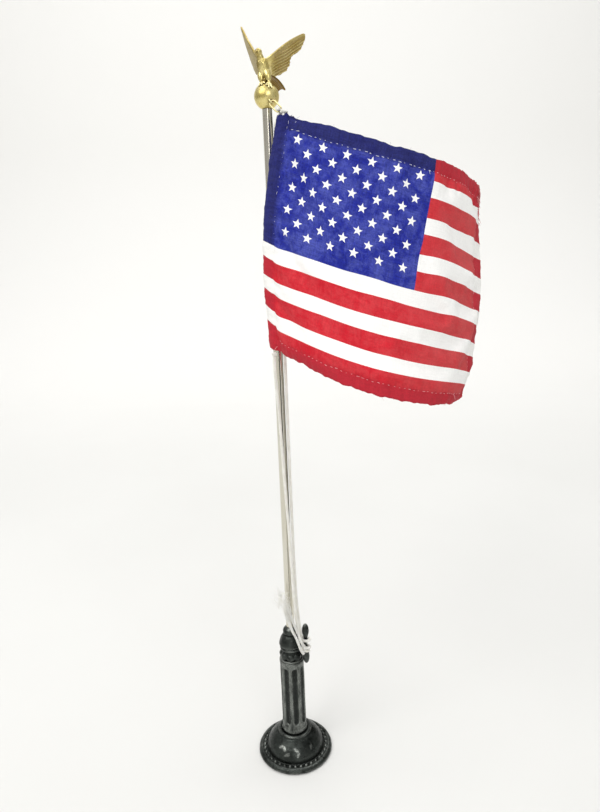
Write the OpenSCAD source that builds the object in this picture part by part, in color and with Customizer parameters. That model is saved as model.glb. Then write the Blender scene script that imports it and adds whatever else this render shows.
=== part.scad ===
// Table-top flagpole: weighted cast foot, fluted column, plated pole,
// eagle finial, halyard on a cleat, and a small sewn flag.
// Frame: millimetres, +Z up, origin at the centre of the foot on the table.
// +X is the side the flag flies to, -Y is the front of the flag.

/* [Foot] */
// Outer radius of the round foot
foot_r = 20.4; // [19:0.1:22]
// Number of cast beads in the ring round the foot
bead_count = 36; // [24:1:40]
// Radius of one bead
bead_r = 0.75; // [0.5:0.05:0.9]
// Thickness of the felt pad under the foot
felt_t = 0.95; // [0.6:0.05:1.2]

/* [Column] */
// Radius of the fluted column
column_r = 6.5; // [6:0.1:7]
// Height of the column's top above the table
column_top = 58.4; // [56:0.1:62]
// Depth of a flute
flute_depth = 1.05; // [0.4:0.05:1.1]
// Direction of one ridge between two flutes, degrees
ridge_angle = -99.6; // [-120:0.1:-80]
// Direction the cleat points in, degrees
cleat_angle = -32; // [-40:1:-20]

/* [Pole] */
// Outer radius of the plated tube
pole_r = 2.2; // [2:0.05:2.4]
// Wall of the tube
pole_wall = 0.45; // [0.3:0.05:0.6]
// Height of the tube's top end
pole_top = 332.3; // [330:0.1:335]
// Radius of the ball under the eagle
ball_r = 5.43; // [5:0.01:6]

/* [Halyard] */
// Radius of the twisted cord
cord_r = 0.75; // [0.6:0.05:0.8]
// Radius of the wire of the oval ring
ring_wire_r = 0.38; // [0.3:0.02:0.45]

/* [Flag] */
// Height of the flag along its hoist
flag_h = 101.6; // [95:0.1:105]
// Length of the flag from hoist to fly
flag_l = 120; // [110:1:125]
// Width of the folded hems and of the sleeve at the hoist
hem_w = 6.0; // [5:0.1:6.5]
// Thickness of one layer of cloth as drawn
cloth_t = 0.45; // [0.35:0.05:0.6]
// Height of the top of the hoist
flag_top = 329.6; // [328:0.1:330]
// Downward slope of the cloth where it leaves the hoist, degrees
droop = 9.3; // [7:0.1:12]
// How far the cloth is turned to the front at the hoist, degrees
lead = 37; // [33:1:39]
// How strongly the cloth curls to the back along its length, degrees
curl = 355; // [335:1:365]

/* [Hidden] */

iron = [0.22, 0.24, 0.23];
gold = [0.80, 0.68, 0.34];
plate = [0.80, 0.77, 0.70];
steel = [0.66, 0.66, 0.68];
cord_white = [0.93, 0.92, 0.87];
felt_green = [0.10, 0.22, 0.14];
sleeve_blue = [0.20, 0.20, 0.50];
cloth_red = [0.78, 0.16, 0.20];

fit = 0.05;                    // radial clearance between mating parts
bore_r = pole_r + fit;         // running bore for the pole
pole_foot = 24.6;              // lower end of the pole inside the column
capital_top = column_top + 15.2;
ball_z = pole_top + 5.1;       // centre of the ball
cleat_r = 9.4;                 // distance of the cleat's bar from the pole
cleat_z = capital_top - 3.5;   // height of the cleat's stem
cleat_p = [cleat_r * cos(cleat_angle), cleat_r * sin(cleat_angle), cleat_z];

// ---------- helpers ----------
function unit(v) = v / norm(v);
function shifted(points, offset) = [for (point = points) point + offset];

// Catmull-Rom curve between start and end, at part 0..1
function curve(before, start, end, after, part) = 0.5 * (2 * start
  + (end - before) * part
  + (2 * before - 5 * start + 4 * end - after) * part * part
  + (3 * start - before - 3 * end + after) * part * part * part);

// a smooth path through control points, four steps between each pair
function smooth_path(points) = let (last = len(points) - 1, steps = 4) concat(
  [for (i = [0 : last - 1]) for (k = [0 : steps - 1])
    curve(points[max(i - 1, 0)], points[i], points[i + 1], points[min(i + 2, last)], k / steps)],
  [points[last]]);

function tangent(path, i, closed) = let (count = len(path)) closed
  ? unit(path[(i + 1) % count] - path[(i + count - 1) % count])
  : unit(path[min(i + 1, count - 1)] - path[max(i - 1, 0)]);

// four-sided faces over a grid of points stored row by row from index first;
// a loop joins the last row or column to the first
function grid_faces(rows, cols, first = 0, flip = false, loop_rows = false, loop_cols = true) = [
  for (i = [0 : rows - (loop_rows ? 1 : 2)])
    for (k = [0 : cols - (loop_cols ? 1 : 2)])
      let (row = first + i * cols, next_row = first + ((i + 1) % rows) * cols,
        next = (k + 1) % cols)
      flip ? [row + k, row + next, next_row + next, next_row + k]
        : [row + k, next_row + k, next_row + next, row + next]];

// one face joining an edge of the first skin to its twin in the second
function rim_face(start, end, offset) = [start, end, offset + end, offset + start];

// a round cord swept along a path; ref is never parallel to the path
module cord(path, radius, ref, sides = 10, closed = false) {
  count = len(path);
  points = [for (i = [0 : count - 1])
    let (ahead = tangent(path, i, closed), side = unit(cross(ref, ahead)),
      up = cross(ahead, side))
    for (k = [0 : sides - 1])
      path[i] + radius * (cos(360 * k / sides) * side + sin(360 * k / sides) * up)];
  caps = closed ? [] : [[for (k = [0 : sides - 1]) k],
    [for (k = [sides - 1 : -1 : 0]) (count - 1) * sides + k]];
  polyhedron(points, concat(grid_faces(count, sides, loop_rows = closed), caps), convexity = 8);
}

// ---------- the cloth as one ruled sheet ----------
// run goes 0..1 from hoist to fly, fall goes 0..1 from top to bottom.
// The coefficients of turn, slope and hoist are the measured shape.
cloth_steps = 24;
hem_run = hem_w / flag_l;      // hem width as a part of run
hem_fall = hem_w / flag_h;     // hem width as a part of fall

// heading of the cloth in plan, degrees, positive to the back
function turn(run, fall) = -lead - 40.5 * run + curl * run * run - 236.4 * run * run * run
  - (25 + 14.9 * run) * (fall - 0.5) + 58.1 * pow(run * fall, 3);
// downward slope of the cloth, degrees
function slope(run, fall) = droop + 60.6 * run - 127 * run * run + 89.2 * run * run * run
  - 12.9 * (fall - 0.5) + 49.3 * run * (fall - 0.5) + 2.7 * (fall - 0.5) * (fall - 0.5)
  - 38.5 * run * run * fall * fall;
// direction towards the fly
function along(run, fall) = [cos(turn(run, fall)) * cos(slope(run, fall)),
  sin(turn(run, fall)) * cos(slope(run, fall)), -sin(slope(run, fall))];
// the hoist edge, and its direction
function hoist(fall) = [5.26 - 24.9 * fall + 16.2 * fall * fall, -6.9, flag_top - flag_h * fall];
function down(fall) = unit([-24.9 + 32.4 * fall, 0, -flag_h]);
// normal of the cloth, to the back at the hoist
function out_of(run, fall) = unit(cross(along(run, fall), down(fall)));
// points from hoist to fly, stepped along the heading at each step's middle
function cloth_row(fall) = [for (i = 0, point = hoist(fall); i <= cloth_steps;
  point = point + along((i + 0.5) / cloth_steps, fall) * flag_l / cloth_steps, i = i + 1) point];
function cloth_at(run, fall) =
  let (k = min(floor(run * cloth_steps), cloth_steps - 1), row = cloth_row(fall))
  row[k] + (row[k + 1] - row[k]) * (run * cloth_steps - k);
// middle of the hoist sleeve
function sleeve_p(fall) = cloth_at(hem_run / 2, fall);

// ---------- foot ----------
seat_z = 13.8;                 // top face of the foot, where the column stands
felt_r = 18.3;
recess_top = 6;                // ceiling of the screw recess under the foot
screw_r = 1.95;
screw_head_top = 5.2;
washer_gap = 0.02;             // above and below the washer
bead_ring_r = 17.05;
bead_z = 2.45;

module felt_pad() {
  color(felt_green) cylinder(r = felt_r, h = felt_t, $fn = 96);
}

module base_foot() {
  // [radius, height]
  outline = [
    [0, felt_t], [felt_r + 0.1, felt_t], [felt_r + 0.1, 0.3], [foot_r - 0.3, 0.3],
    [foot_r, 0.7], [foot_r, 1.3], [foot_r - 0.25, 1.9], [foot_r - 0.8, 2.5],
    [foot_r - 1.5, 2.85], [foot_r - 2.1, 2.9], [foot_r - 2.35, 2.3], [15.9, 2.3],
    [15.7, 2.5], [15.6, 3.9], [15.5, 4.5], [15.15, 5.7], [14.4, 7.2],
    [13.2, 8.9], [11.7, 10.5], [10.3, 11.6], [9.1, 12.3], [9.0, 12.5],
    [9.15, 13.0], [9.05, 13.6], [8.6, 14.05], [8.0, 14.1], [7.4, 13.95],
    [7.2, seat_z], [0, seat_z]];
  color(iron) union() {
    difference() {
      rotate_extrude($fn = 128) polygon(outline);
      translate([0, 0, -1]) cylinder(r = 2.1, h = 20, $fn = 48);
      translate([0, 0, -1]) cylinder(r = 4.3, h = recess_top + 1, $fn = 64);
    }
    for (i = [0 : bead_count - 1])
      rotate(i * 360 / bead_count)
        translate([bead_ring_r, 0, bead_z]) sphere(r = bead_r, $fn = 24);
  }
}

// screw up into the column, with a slotted head
module tie_screw() {
  head = [[0, 2.8], [2.6, 2.8], [3.3, 3.3], [3.5, 3.9],
    [3.5, screw_head_top], [0, screw_head_top]];  // [radius, height]
  color(steel) difference() {
    union() {
      translate([0, 0, screw_head_top]) cylinder(r = screw_r, h = 15.9, $fn = 48);
      rotate_extrude($fn = 64) polygon(head);
    }
    translate([-4, -0.5, 2]) cube([8, 1, 1.9]);
  }
}

// split washer between the screw head and the foot
module lock_washer() {
  thickness = recess_top - screw_head_top - 2 * washer_gap;
  color(steel) difference() {
    translate([0, 0, screw_head_top + washer_gap]) cylinder(r = 3.8, h = thickness, $fn = 64);
    translate([0, 0, 5]) cylinder(r = 2.15, h = 2, $fn = 48);
    translate([0, -0.5, 5]) cube([5, 1, 2]);
  }
}

// ---------- column ----------
flute_count = 8;
flute_pitch = 360 / flute_count;
flute_half_w = 1.95;
spigot_r = 3.6;                // spigot of the capital, let into the column
spigot_h = 4.0;
stem_r = 1.0;                  // stem of the cleat
stem_start = 3.5;              // its inner end, from the pole's axis

// a round-ended bar whose side cuts one flute
module flute_cutter() {
  cutter_r = (flute_half_w * flute_half_w + flute_depth * flute_depth) / (2 * flute_depth);
  low = 21.2;
  high = column_top - 5.2;
  translate([column_r + cutter_r - flute_depth, 0, 0]) rotate_extrude($fn = 64)
    polygon(concat([[0, low - cutter_r]],
      [for (a = [-75 : 15 : 0]) [cutter_r * cos(a), low + cutter_r * sin(a)]],
      [for (a = [0 : 15 : 75]) [cutter_r * cos(a), high + cutter_r * sin(a)]],
      [[0, high + cutter_r]]));
}

module column() {
  // [radius, height]
  outline = [[0, seat_z], [6.7, seat_z], [6.95, seat_z + 0.5],
    [6.95, seat_z + 1.2], [6.7, seat_z + 1.7], [column_r + 0.05, seat_z + 2.2],
    [column_r, column_top - 2.0], [column_r + 0.2, column_top - 1.5],
    [column_r + 0.2, column_top - 0.5], [column_r, column_top], [0, column_top]];
  color(iron) difference() {
    rotate_extrude($fn = 96) polygon(outline);
    for (i = [0 : flute_count - 1])
      rotate(ridge_angle + (i + 0.5) * flute_pitch) flute_cutter();
    translate([0, 0, pole_foot - 0.1]) cylinder(r = bore_r, h = 60, $fn = 64);
    translate([0, 0, column_top - spigot_h - 0.1]) cylinder(r = spigot_r + fit, h = 10, $fn = 64);
    translate([0, 0, seat_z - 1]) cylinder(r = screw_r + fit, h = 9.5, $fn = 48);
  }
}

// turned capital with a ring of rounded lobes, over the spigot
module capital() {
  // [radius, height above the column's top]
  outline = [[0, -spigot_h], [spigot_r, -spigot_h],
    [spigot_r, 0], [5.0, 0], [5.0, 0.6], [5.25, 1.8], [5.3, 3.0],
    [5.1, 4.4], [4.7, 5.5], [4.6, 6.1], [5.5, 6.4], [6.0, 6.8], [6.1, 7.3],
    [5.95, 7.8], [5.5, 8.1], [5.4, 8.4], [6.1, 8.7], [6.4, 9.1], [6.45, 9.5],
    [6.35, 10.1], [6.1, 11.1], [5.7, 12.2], [5.1, 13.5], [4.4, 14.5], [3.7, 15.0],
    [3.3, 15.2], [0, 15.2]];
  color(iron) difference() {
    union() {
      rotate_extrude($fn = 96) polygon(shifted(outline, [0, column_top]));
      for (i = [0 : flute_count - 1])
        rotate(ridge_angle + 3 + flute_pitch * i)
          translate([4.25, 0, column_top + 2.8]) sphere(r = 2.35, $fn = 40);
    }
    translate([0, 0, column_top - 8.4]) cylinder(r = bore_r, h = 30, $fn = 64);
    translate([0, 0, cleat_z]) rotate([0, 90, cleat_angle])
      translate([0, 0, stem_start - 0.2]) cylinder(r = stem_r + 0.03, h = 8, $fn = 32);
  }
}

module pole_collar() {
  // [radius, height above the capital]
  outline = [[0, 0], [3.1, 0], [3.7, 0.3], [4.05, 0.9], [4.15, 1.6], [4.0, 2.3],
    [3.6, 3.0], [3.05, 3.6], [2.6, 4.1], [2.45, 4.4], [0, 4.4]];
  color(iron) difference() {
    rotate_extrude($fn = 64) polygon(shifted(outline, [0, capital_top]));
    translate([0, 0, capital_top - 3.6]) cylinder(r = bore_r, h = 12, $fn = 64);
  }
}

// upright two-horned bar on a level stem
module cleat() {
  // [radius, height above the stem]
  bar = [[0, -11.8],
    [0.7, -11.5], [1.25, -10.6], [1.65, -9.1], [1.8, -7.4], [1.6, -5.6], [1.2, -4.1],
    [0.9, -3.0], [0.85, -2.0], [0.85, 2.4], [0.95, 3.6], [1.3, 5.0], [1.7, 6.4],
    [1.85, 7.9], [1.7, 9.5], [1.25, 10.9], [0.7, 11.7], [0, 11.9]];
  color(iron) rotate(cleat_angle) union() {
    translate([cleat_r, 0, cleat_z]) rotate_extrude($fn = 48) polygon(bar);
    translate([stem_start, 0, cleat_z]) rotate([0, 90, 0])
      cylinder(r = stem_r, h = cleat_r - stem_start, $fn = 32);
  }
}

// ---------- pole and finial ----------
pin_neck_r = 1.2;              // part of the pin inside the ball

module pole() {
  color(plate) difference() {
    translate([0, 0, pole_foot]) cylinder(r = pole_r, h = pole_top - pole_foot, $fn = 64);
    translate([0, 0, pole_foot - 1]) cylinder(r = pole_r - pole_wall, h = 400, $fn = 64);
  }
}

module finial_pin() {
  plug_r = pole_r - pole_wall - fit;
  // [radius, height above the pole]
  outline = [[0, -10], [1.3, -10], [plug_r, -9.4], [plug_r, 0],
    [pin_neck_r, 0], [pin_neck_r, 3.9], [0, 3.9]];
  color(steel) rotate_extrude($fn = 48) polygon(shifted(outline, [0, pole_top]));
}

// ball cut flat where it sits on the pole, bored for the pin
module finial_ball() {
  color(gold) difference() {
    translate([0, 0, ball_z]) sphere(r = ball_r, $fn = 96);
    translate([-10, -10, pole_top - 10]) cube([20, 20, 10]);
    translate([0, 0, pole_top - 1]) cylinder(r = pin_neck_r + fit, h = 5, $fn = 48);
  }
}

// a tapered round limb between two points
module limb(start, start_r, end, end_r, start_fn = 10, end_fn = 10) {
  hull() {
    translate(start) sphere(r = start_r, $fn = start_fn);
    translate(end) sphere(r = end_r, $fn = end_fn);
  }
}

// one feather from its root to its tip
module feather(root, tip, root_r, middle_r) {
  hull() {
    translate(root) sphere(r = root_r, $fn = 8);
    translate(root * 0.35 + tip * 0.65) sphere(r = middle_r, $fn = 8);
    translate(tip) sphere(r = root_r * 0.55, $fn = 8);
  }
}

// One wing in its own plane: x outwards, z up; seven long feathers fan from
// the wrist and five shorter ones hang from the arm
module wing() {
  wrist = [7.2, 0, 5.6];
  limb([0, 0, 0], 1.5, wrist, 1.0);
  limb(wrist, 1.0, [16.4, 0, 10.0], 0.5, end_fn = 8);
  for (i = [0 : 6])
    let (angle = 31 - 11.2 * i, length = 11.4 - 0.75 * i)
    feather(wrist - [0.35 * i, 0, 0.55 * i],
      wrist + [length * cos(angle), 0.12 * i, length * sin(angle)], 0.75, 0.8);
  for (i = [0 : 4])
    let (part = i / 4)
    feather(wrist * (0.9 - 0.75 * part),
      [10.6 - 7.2 * part * part, 0.9, -2.6 - 4.8 * sin(90 * part)], 0.85, 0.85);
}

module eagle() {
  hip_z = ball_z + 8.6;
  wing_z = ball_z + 13.5;
  color(gold) difference() {
    union() {
      // body, neck with head, and beak, leaning forward
      limb([-0.6, -0.8, ball_z + 9.2], 2.5, [-1.6, -1.9, ball_z + 13], 2.3, 14, 14);
      limb([-1.6, -1.9, ball_z + 13.2], 1.9, [-2.3, -2.9, ball_z + 16.4], 1.55, 12, 12);
      limb([-2.5, -3.4, ball_z + 16.7], 1.1, [-3.2, -4.9, ball_z + 16.1], 0.35, end_fn = 8);
      // legs, and the perch over the ball
      for (side = [-1, 1])
        limb([-0.6 + 1.3 * side, -0.8 - 0.7 * side, hip_z], 1.4,
          [-0.2 + 1.5 * side, -2.2 - 0.5 * side, ball_z + 4.2], 1.0);
      limb([0, 0, hip_z], 2.0, [0, 0, ball_z + 4.1], 1.8);
      // tail, spread down to the back
      for (i = [-2 : 2])
        feather([0.6, 0.8, hip_z],
          [6.9 + 0.9 * i, 8.6 - 0.9 * i, ball_z + 3.8 - 0.25 * abs(i)], 1.1, 0.9);
      translate([0.6, -0.6, wing_z]) rotate(12) wing();
      translate([-2.4, 0.4, wing_z]) rotate(115) mirror([0, 1, 0]) rotate([0, -12, 0]) wing();
    }
    // seat on the ball, with a hair of clearance
    translate([0, 0, ball_z]) sphere(r = ball_r + 0.02, $fn = 60);
  }
}

// ---------- eye and oval ring ----------
eye_p = [1.9, -5.07, ball_z - 3];  // centre of the eye on the ball
eye_out = unit(eye_p - [0, 0, ball_z]);
ring_top = eye_p + 0.2 * eye_out;
ring_bottom = [5.8, -6.9, pole_top - 1.35];
ring_len = norm(ring_bottom - ring_top);
ring_dir = (ring_bottom - ring_top) / ring_len;
ring_side = unit(cross([0, 1, 0], ring_dir));
ring_face = cross(ring_side, ring_dir);  // through the ring, to the front

module halyard_eye() {
  axis = unit(ring_side - eye_out * (eye_out * ring_side));
  across = cross(axis, eye_out);
  color(gold) difference() {
    multmatrix([
      [eye_out[0], across[0], axis[0], eye_p[0]],
      [eye_out[1], across[1], axis[1], eye_p[1]],
      [eye_out[2], across[2], axis[2], eye_p[2]],
      [0, 0, 0, 1]])
      rotate_extrude($fn = 48) translate([1.25, 0]) circle(r = 0.36, $fn = 24);
    translate([0, 0, ball_z]) sphere(r = ball_r + 0.01, $fn = 96);
  }
}

module jump_ring() {
  half_w = 1.32;
  path = [for (k = [0 : 39])
    let (angle = 9 * k, straight = sin(angle) < 0 ? 0 : ring_len - 2 * half_w)
    ring_top + ring_dir * (half_w + straight + half_w * sin(angle))
      + ring_side * half_w * cos(angle)];
  color(gold) cord(path, ring_wire_r, ring_face, closed = true);
}

// ---------- halyard ----------
bight_r = 1.7;
knot_p = sleeve_p(0) + [0.05, 0, 1.15];  // upper knot

// the bight through the ring, from 0 behind it to 180 in front
function bight(angle) = ring_bottom - bight_r * (sin(angle) * ring_dir + cos(angle) * ring_face);

// the line that runs up beside the pole and through the ring
module return_line() {
  stations = concat(
    [cleat_p + [-2.3, -1.2, 6.0], [4.9, -4.8, 83], [3.9, -3.1, 96], [3.35, -1.7, 130],
      [3.2, -1.1, 200], [3.2, -1.1, 290], [3.3, -1.4, 316], [4.0, -3.1, 325],
      bight(0) + [-0.7, 0.75, -2.4]],
    [for (angle = [0 : 30 : 180]) bight(angle)]);
  color(cord_white) cord(smooth_path(stations), cord_r, ring_side);
}

// from the bight to the knot at the top of the flag
module hoist_line_upper() {
  start = bight(180) + 0.45 * ring_dir;
  end = knot_p + 1.02 * unit(bight(180) - knot_p);
  color(cord_white)
    cord([for (k = [0 : 6]) start + (end - start) * k / 6], cord_r * 0.85, [1, 0, 0]);
}

// from the cleat to the knot at the bottom of the flag
module hoist_line_lower() {
  end = sleeve_p(1) + [0, 0, -2.35];
  stations = [cleat_p + [-3.1, -2.7, 2.5], cleat_p + [-3.3, -2.2, 6.5],
    [3.5, -6.4, 86], [2.55, -5.1, 101], [1.7, -4.3, 130], [0.4, -4.3, 165], [-0.6, -4.7, 195],
    end + [0, 0.1, -8], end];
  color(cord_white) cord(smooth_path(stations), cord_r, [0, 1, 0]);
}

module upper_knot() {
  color(cord_white) translate(knot_p) sphere(r = 0.95, $fn = 32);
}

module lower_knot() {
  color(cord_white) translate(sleeve_p(1) + [0, 0, -1.14]) sphere(r = 1.18, $fn = 32);
}

// the cord wound round the cleat's bar, above and then below its stem
module cleat_hitch() {
  wrap_r = 2.0;
  pitch = 1.62;
  upper_start = 3.7;
  upper_end = upper_start - pitch * 420 / 360;
  // [angle wound, height above the stem]
  upper = [for (a = [0 : 20 : 420]) [a, upper_start - pitch * a / 360]];
  crossing = [for (k = [1 : 8])
    [420 + 20 * k, upper_end - 3.5 * (0.5 - 0.5 * cos(22.5 * k))]];
  lower = [for (a = [600 : 20 : 960]) [a, -1.8 - pitch * (a - 600) / 360]];
  path = [for (turning = concat(upper, crossing, lower))
    let (angle = turning[0] + 180 + cleat_angle - 60)
    cleat_p + [wrap_r * cos(angle), wrap_r * sin(angle), turning[1]]];
  color(cord_white) cord(path, cord_r, [0, 0, 1]);
}

// the two loose ends, rising from the hitch
module halyard_tails() {
  // [x, y, height above the cleat's stem]
  tails = [
    [[5.6, -8.4, -2.1], [4.6, -9.4, 1.4], [3.3, -9.6, 6.0], [1, -9.2, 11.5],
      [-1.1, -8.4, 18.4], [-2.5, -7.6, 25.3], [-3.8, -7, 30.5], [-5.8, -6.8, 33.1]],
    [[6.6, -7.9, 0.4], [5.8, -9.1, 3.5], [4.6, -9.3, 7.4], [2.6, -8.7, 12.9],
      [0.6, -7.9, 19.7], [-0.9, -7.2, 25.4], [-2, -6.9, 30.4], [-2.9, -6.9, 33.9]]];
  color(cord_white)
    for (tail = tails)
      cord(smooth_path(shifted(tail, [0, 0, cleat_z])), cord_r * 0.8, [0, 1, 0.2]);
}

module sleeve_cord() {
  color(cord_white)
    cord([for (i = [0 : 16]) sleeve_p(0.018 + 0.978 * i / 16)], cord_r, [0, 1, 0]);
}

// ---------- flag ----------
// a flattened tube round the sleeve cord
module hoist_sleeve() {
  sides = 16;
  rows = 16;
  // rows of ovals down the hoist, by half width along and through the cloth
  function ovals(half_w, half_t) = [for (j = [0 : rows - 1])
    let (fall = 0.001 + 0.998 * j / (rows - 1), centre = sleeve_p(fall),
      wide = along(0.02, fall), thick = out_of(0.02, fall))
    for (k = [0 : sides - 1])
      let (angle = 360 * k / sides)
      centre + half_w * cos(angle) * wide + half_t * sin(angle) * thick];
  inner = rows * sides;
  last = inner - sides;
  color(sleeve_blue) polyhedron(
    concat(ovals(hem_w / 2 - 0.07, 1.3), ovals(1.35, 0.95)),
    concat(
      grid_faces(rows, sides, flip = true),
      grid_faces(rows, sides, first = inner),
      [for (k = [0 : sides - 1]) rim_face((k + 1) % sides, k, inner)],
      [for (k = [0 : sides - 1]) rim_face(last + k, last + (k + 1) % sides, inner)]),
    convexity = 8);
}

// thickness in layers: one in the field, drawn as two in the folded hems
function layers(run, fall) =
  (run > 1 - hem_run || fall < hem_fall || fall > 1 - hem_fall) ? 2 : 1;

module flag_cloth() {
  // paired stations make the step in thickness at each hem
  runs = concat([hem_run + 0.001], [for (i = [2 : cloth_steps - 2]) i / cloth_steps],
    [1 - hem_run - 0.004, 1 - hem_run + 0.001, 1]);
  falls = concat([0, hem_fall - 0.001, hem_fall + 0.004],
    [for (j = [1 : 11]) hem_fall + (1 - 2 * hem_fall) * j / 12],
    [1 - hem_fall - 0.004, 1 - hem_fall + 0.001, 1]);
  cols = len(runs);
  rows = len(falls);
  middle = [for (fall = falls) for (run = runs) cloth_at(run, fall)];
  half = [for (fall = falls) for (run = runs)
    out_of(run, fall) * cloth_t * layers(run, fall) / 2];
  count = cols * rows;
  last = count - cols;
  color(cloth_red) polyhedron(concat(middle + half, middle - half), concat(
    grid_faces(rows, cols, loop_cols = false),
    grid_faces(rows, cols, first = count, flip = true, loop_cols = false),
    [for (i = [0 : cols - 2]) rim_face(i, i + 1, count)],
    [for (i = [0 : cols - 2]) rim_face(last + i + 1, last + i, count)],
    [for (j = [0 : rows - 2]) rim_face((j + 1) * cols, j * cols, count)],
    [for (j = [0 : rows - 2]) rim_face((j + 1) * cols - 1, (j + 2) * cols - 1, count)]),
    convexity = 8);
}

// the thread of the three seams, just off the front of the cloth
module hem_thread() {
  thread_r = 0.14;
  offset_t = cloth_t + 0.3;
  seam_inset = hem_w - 0.5;    // from the edge of the cloth
  seam_fall = seam_inset / flag_h;
  seam_run = 1 - seam_inset / flag_l;
  function thread_at(run, fall) = cloth_at(run, fall) - out_of(run, fall) * offset_t;
  color(cord_white) {
    for (fall = [seam_fall, 1 - seam_fall])
      cord([for (i = [0 : 22]) thread_at(hem_run + 0.012 + (0.985 - hem_run) * i / 23, fall)],
        thread_r, [0, 0, 1], 6);
    cord([for (j = [0 : 14])
      thread_at(seam_run, seam_fall + 0.012 + (0.976 - 2 * seam_fall) * j / 14)],
      thread_r, [0, 1, 0], 6);
  }
}

felt_pad();
base_foot();
tie_screw();
lock_washer();
column();
capital();
pole_collar();
cleat();
pole();
finial_pin();
finial_ball();
eagle();
halyard_eye();
jump_ring();
return_line();
hoist_line_upper();
hoist_line_lower();
cleat_hitch();
halyard_tails();
sleeve_cord();
upper_knot();
lower_knot();
hoist_sleeve();
flag_cloth();
hem_thread();
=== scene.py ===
"""Looks of a table-top flagpole: cast foot, fluted column, tube, gilt eagle, cords and a cloth flag.

It stands on z = 0 with the pole on the Z axis. The front is -Y and the flag flies towards +X.
Shapes are in millimetres until they become meshes; lights, camera and materials are in metres.
"""

import math

import bpy
import numpy as np
from mathutils import Matrix, Vector
from mathutils.geometry import delaunay_2d_cdt


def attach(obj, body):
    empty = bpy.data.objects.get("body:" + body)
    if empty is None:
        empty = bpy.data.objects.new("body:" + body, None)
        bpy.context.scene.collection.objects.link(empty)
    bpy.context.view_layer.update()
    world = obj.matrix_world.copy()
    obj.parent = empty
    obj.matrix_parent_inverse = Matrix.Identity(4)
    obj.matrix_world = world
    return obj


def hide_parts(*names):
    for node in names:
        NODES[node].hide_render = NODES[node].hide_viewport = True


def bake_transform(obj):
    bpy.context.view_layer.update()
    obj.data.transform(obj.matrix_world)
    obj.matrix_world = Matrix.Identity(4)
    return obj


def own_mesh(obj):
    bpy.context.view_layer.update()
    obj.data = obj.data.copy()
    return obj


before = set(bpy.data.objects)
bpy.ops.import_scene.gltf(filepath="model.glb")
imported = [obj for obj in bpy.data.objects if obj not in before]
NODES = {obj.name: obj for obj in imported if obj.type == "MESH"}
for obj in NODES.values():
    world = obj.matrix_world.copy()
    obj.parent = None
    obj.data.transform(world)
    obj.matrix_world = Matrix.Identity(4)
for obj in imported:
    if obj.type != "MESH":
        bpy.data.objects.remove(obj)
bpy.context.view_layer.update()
MM = 0.001
pi = math.pi


# ------------------------------------------------------------------ helpers
def unit(vec):
    vec = np.asarray(vec, float)
    return vec / (np.linalg.norm(vec, axis=-1, keepdims=True) + 1e-12)


def rise(x, start, width):
    """0 at start, 1 from start + width on; a negative width rises the other way."""
    return np.clip((x - start) / width, 0, 1)


def bell(x, centre, width):
    return np.exp(-((x - centre) / width) ** 2)


def curve(points, steps=8):
    """Catmull-Rom curve through the points."""
    points = np.array(points, float)
    last = len(points) - 1
    out = []
    for i in range(last):
        a, b, c, d = points[max(i - 1, 0)], points[i], points[i + 1], points[min(i + 2, last)]
        for k in range(steps):
            t = k / steps
            out.append(0.5 * (2 * b + (c - a) * t + (2 * a - 5 * b + 4 * c - d) * t * t
                              + (3 * b - a - 3 * c + d) * t ** 3))
    out.append(points[last])
    return np.array(out)


def resample(path, step):
    """Even points along a path, and their distances along it."""
    gaps = np.linalg.norm(np.diff(path, axis=0), axis=1)
    run = np.concatenate([[0], np.cumsum(gaps)])
    even = np.linspace(0, run[-1], max(3, int(round(run[-1] / step))) + 1)
    return np.stack([np.interp(even, run, path[:, k]) for k in range(3)], 1), even


def frames_of(path, closed=False):
    """Tangent and two cross directions at each point, without twist."""
    if closed:
        ahead = unit(np.roll(path, -1, 0) - np.roll(path, 1, 0))
    else:
        ahead = unit(np.gradient(path, axis=0))
    side = np.zeros_like(ahead)
    ref = np.array([0.0, 1.0, 0.0]) if abs(ahead[0][1]) < 0.8 else np.array([1.0, 0, 0])
    vec = unit(np.cross(ref, ahead[0]))
    for i in range(len(ahead)):
        vec = unit(vec - ahead[i] * float(vec @ ahead[i]))
        side[i] = vec
    return ahead, side, np.cross(ahead, side)


def grid_faces(rows, cols, wrap_rows=False, wrap_cols=False):
    faces = []
    for i in range(rows if wrap_rows else rows - 1):
        low, high = i * cols, (i + 1) % rows * cols
        for j in range(cols if wrap_cols else cols - 1):
            k = (j + 1) % cols
            faces.append((low + j, low + k, high + k, high + j))
    return faces


def slab_faces(rows, cols):
    """Top, bottom and side faces of two matching grids, the bottom's points after the top's."""
    count = rows * cols
    top = grid_faces(rows, cols)
    bottom = [tuple(count + i for i in reversed(face)) for face in top]
    rim = (list(range(cols)) + [j * cols + cols - 1 for j in range(1, rows)]
           + [(rows - 1) * cols + i for i in range(cols - 2, -1, -1)]
           + [j * cols for j in range(rows - 2, 0, -1)])
    sides = [(a, count + a, count + b, b) for a, b in zip(rim, rim[1:] + rim[:1])]
    return top, bottom, sides


def taper(path, stations, sizes):
    """Sizes along a path, from stations that run 0..1."""
    return np.interp(np.linspace(0, 1, len(path)), stations, sizes)


def new_object(name, verts, faces, mats=(), kinds=None, smooth=True):
    mesh = bpy.data.meshes.new(name)
    mesh.from_pydata(verts, [], faces)
    for mat in mats:
        mesh.materials.append(mat)
    if kinds is not None:
        mesh.polygons.foreach_set("material_index", np.asarray(kinds, np.int32))
    if smooth:
        mesh.polygons.foreach_set("use_smooth", np.full(len(faces), True))
    mesh.update()
    obj = bpy.data.objects.new(name, mesh)
    bpy.context.scene.collection.objects.link(obj)
    return obj


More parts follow.
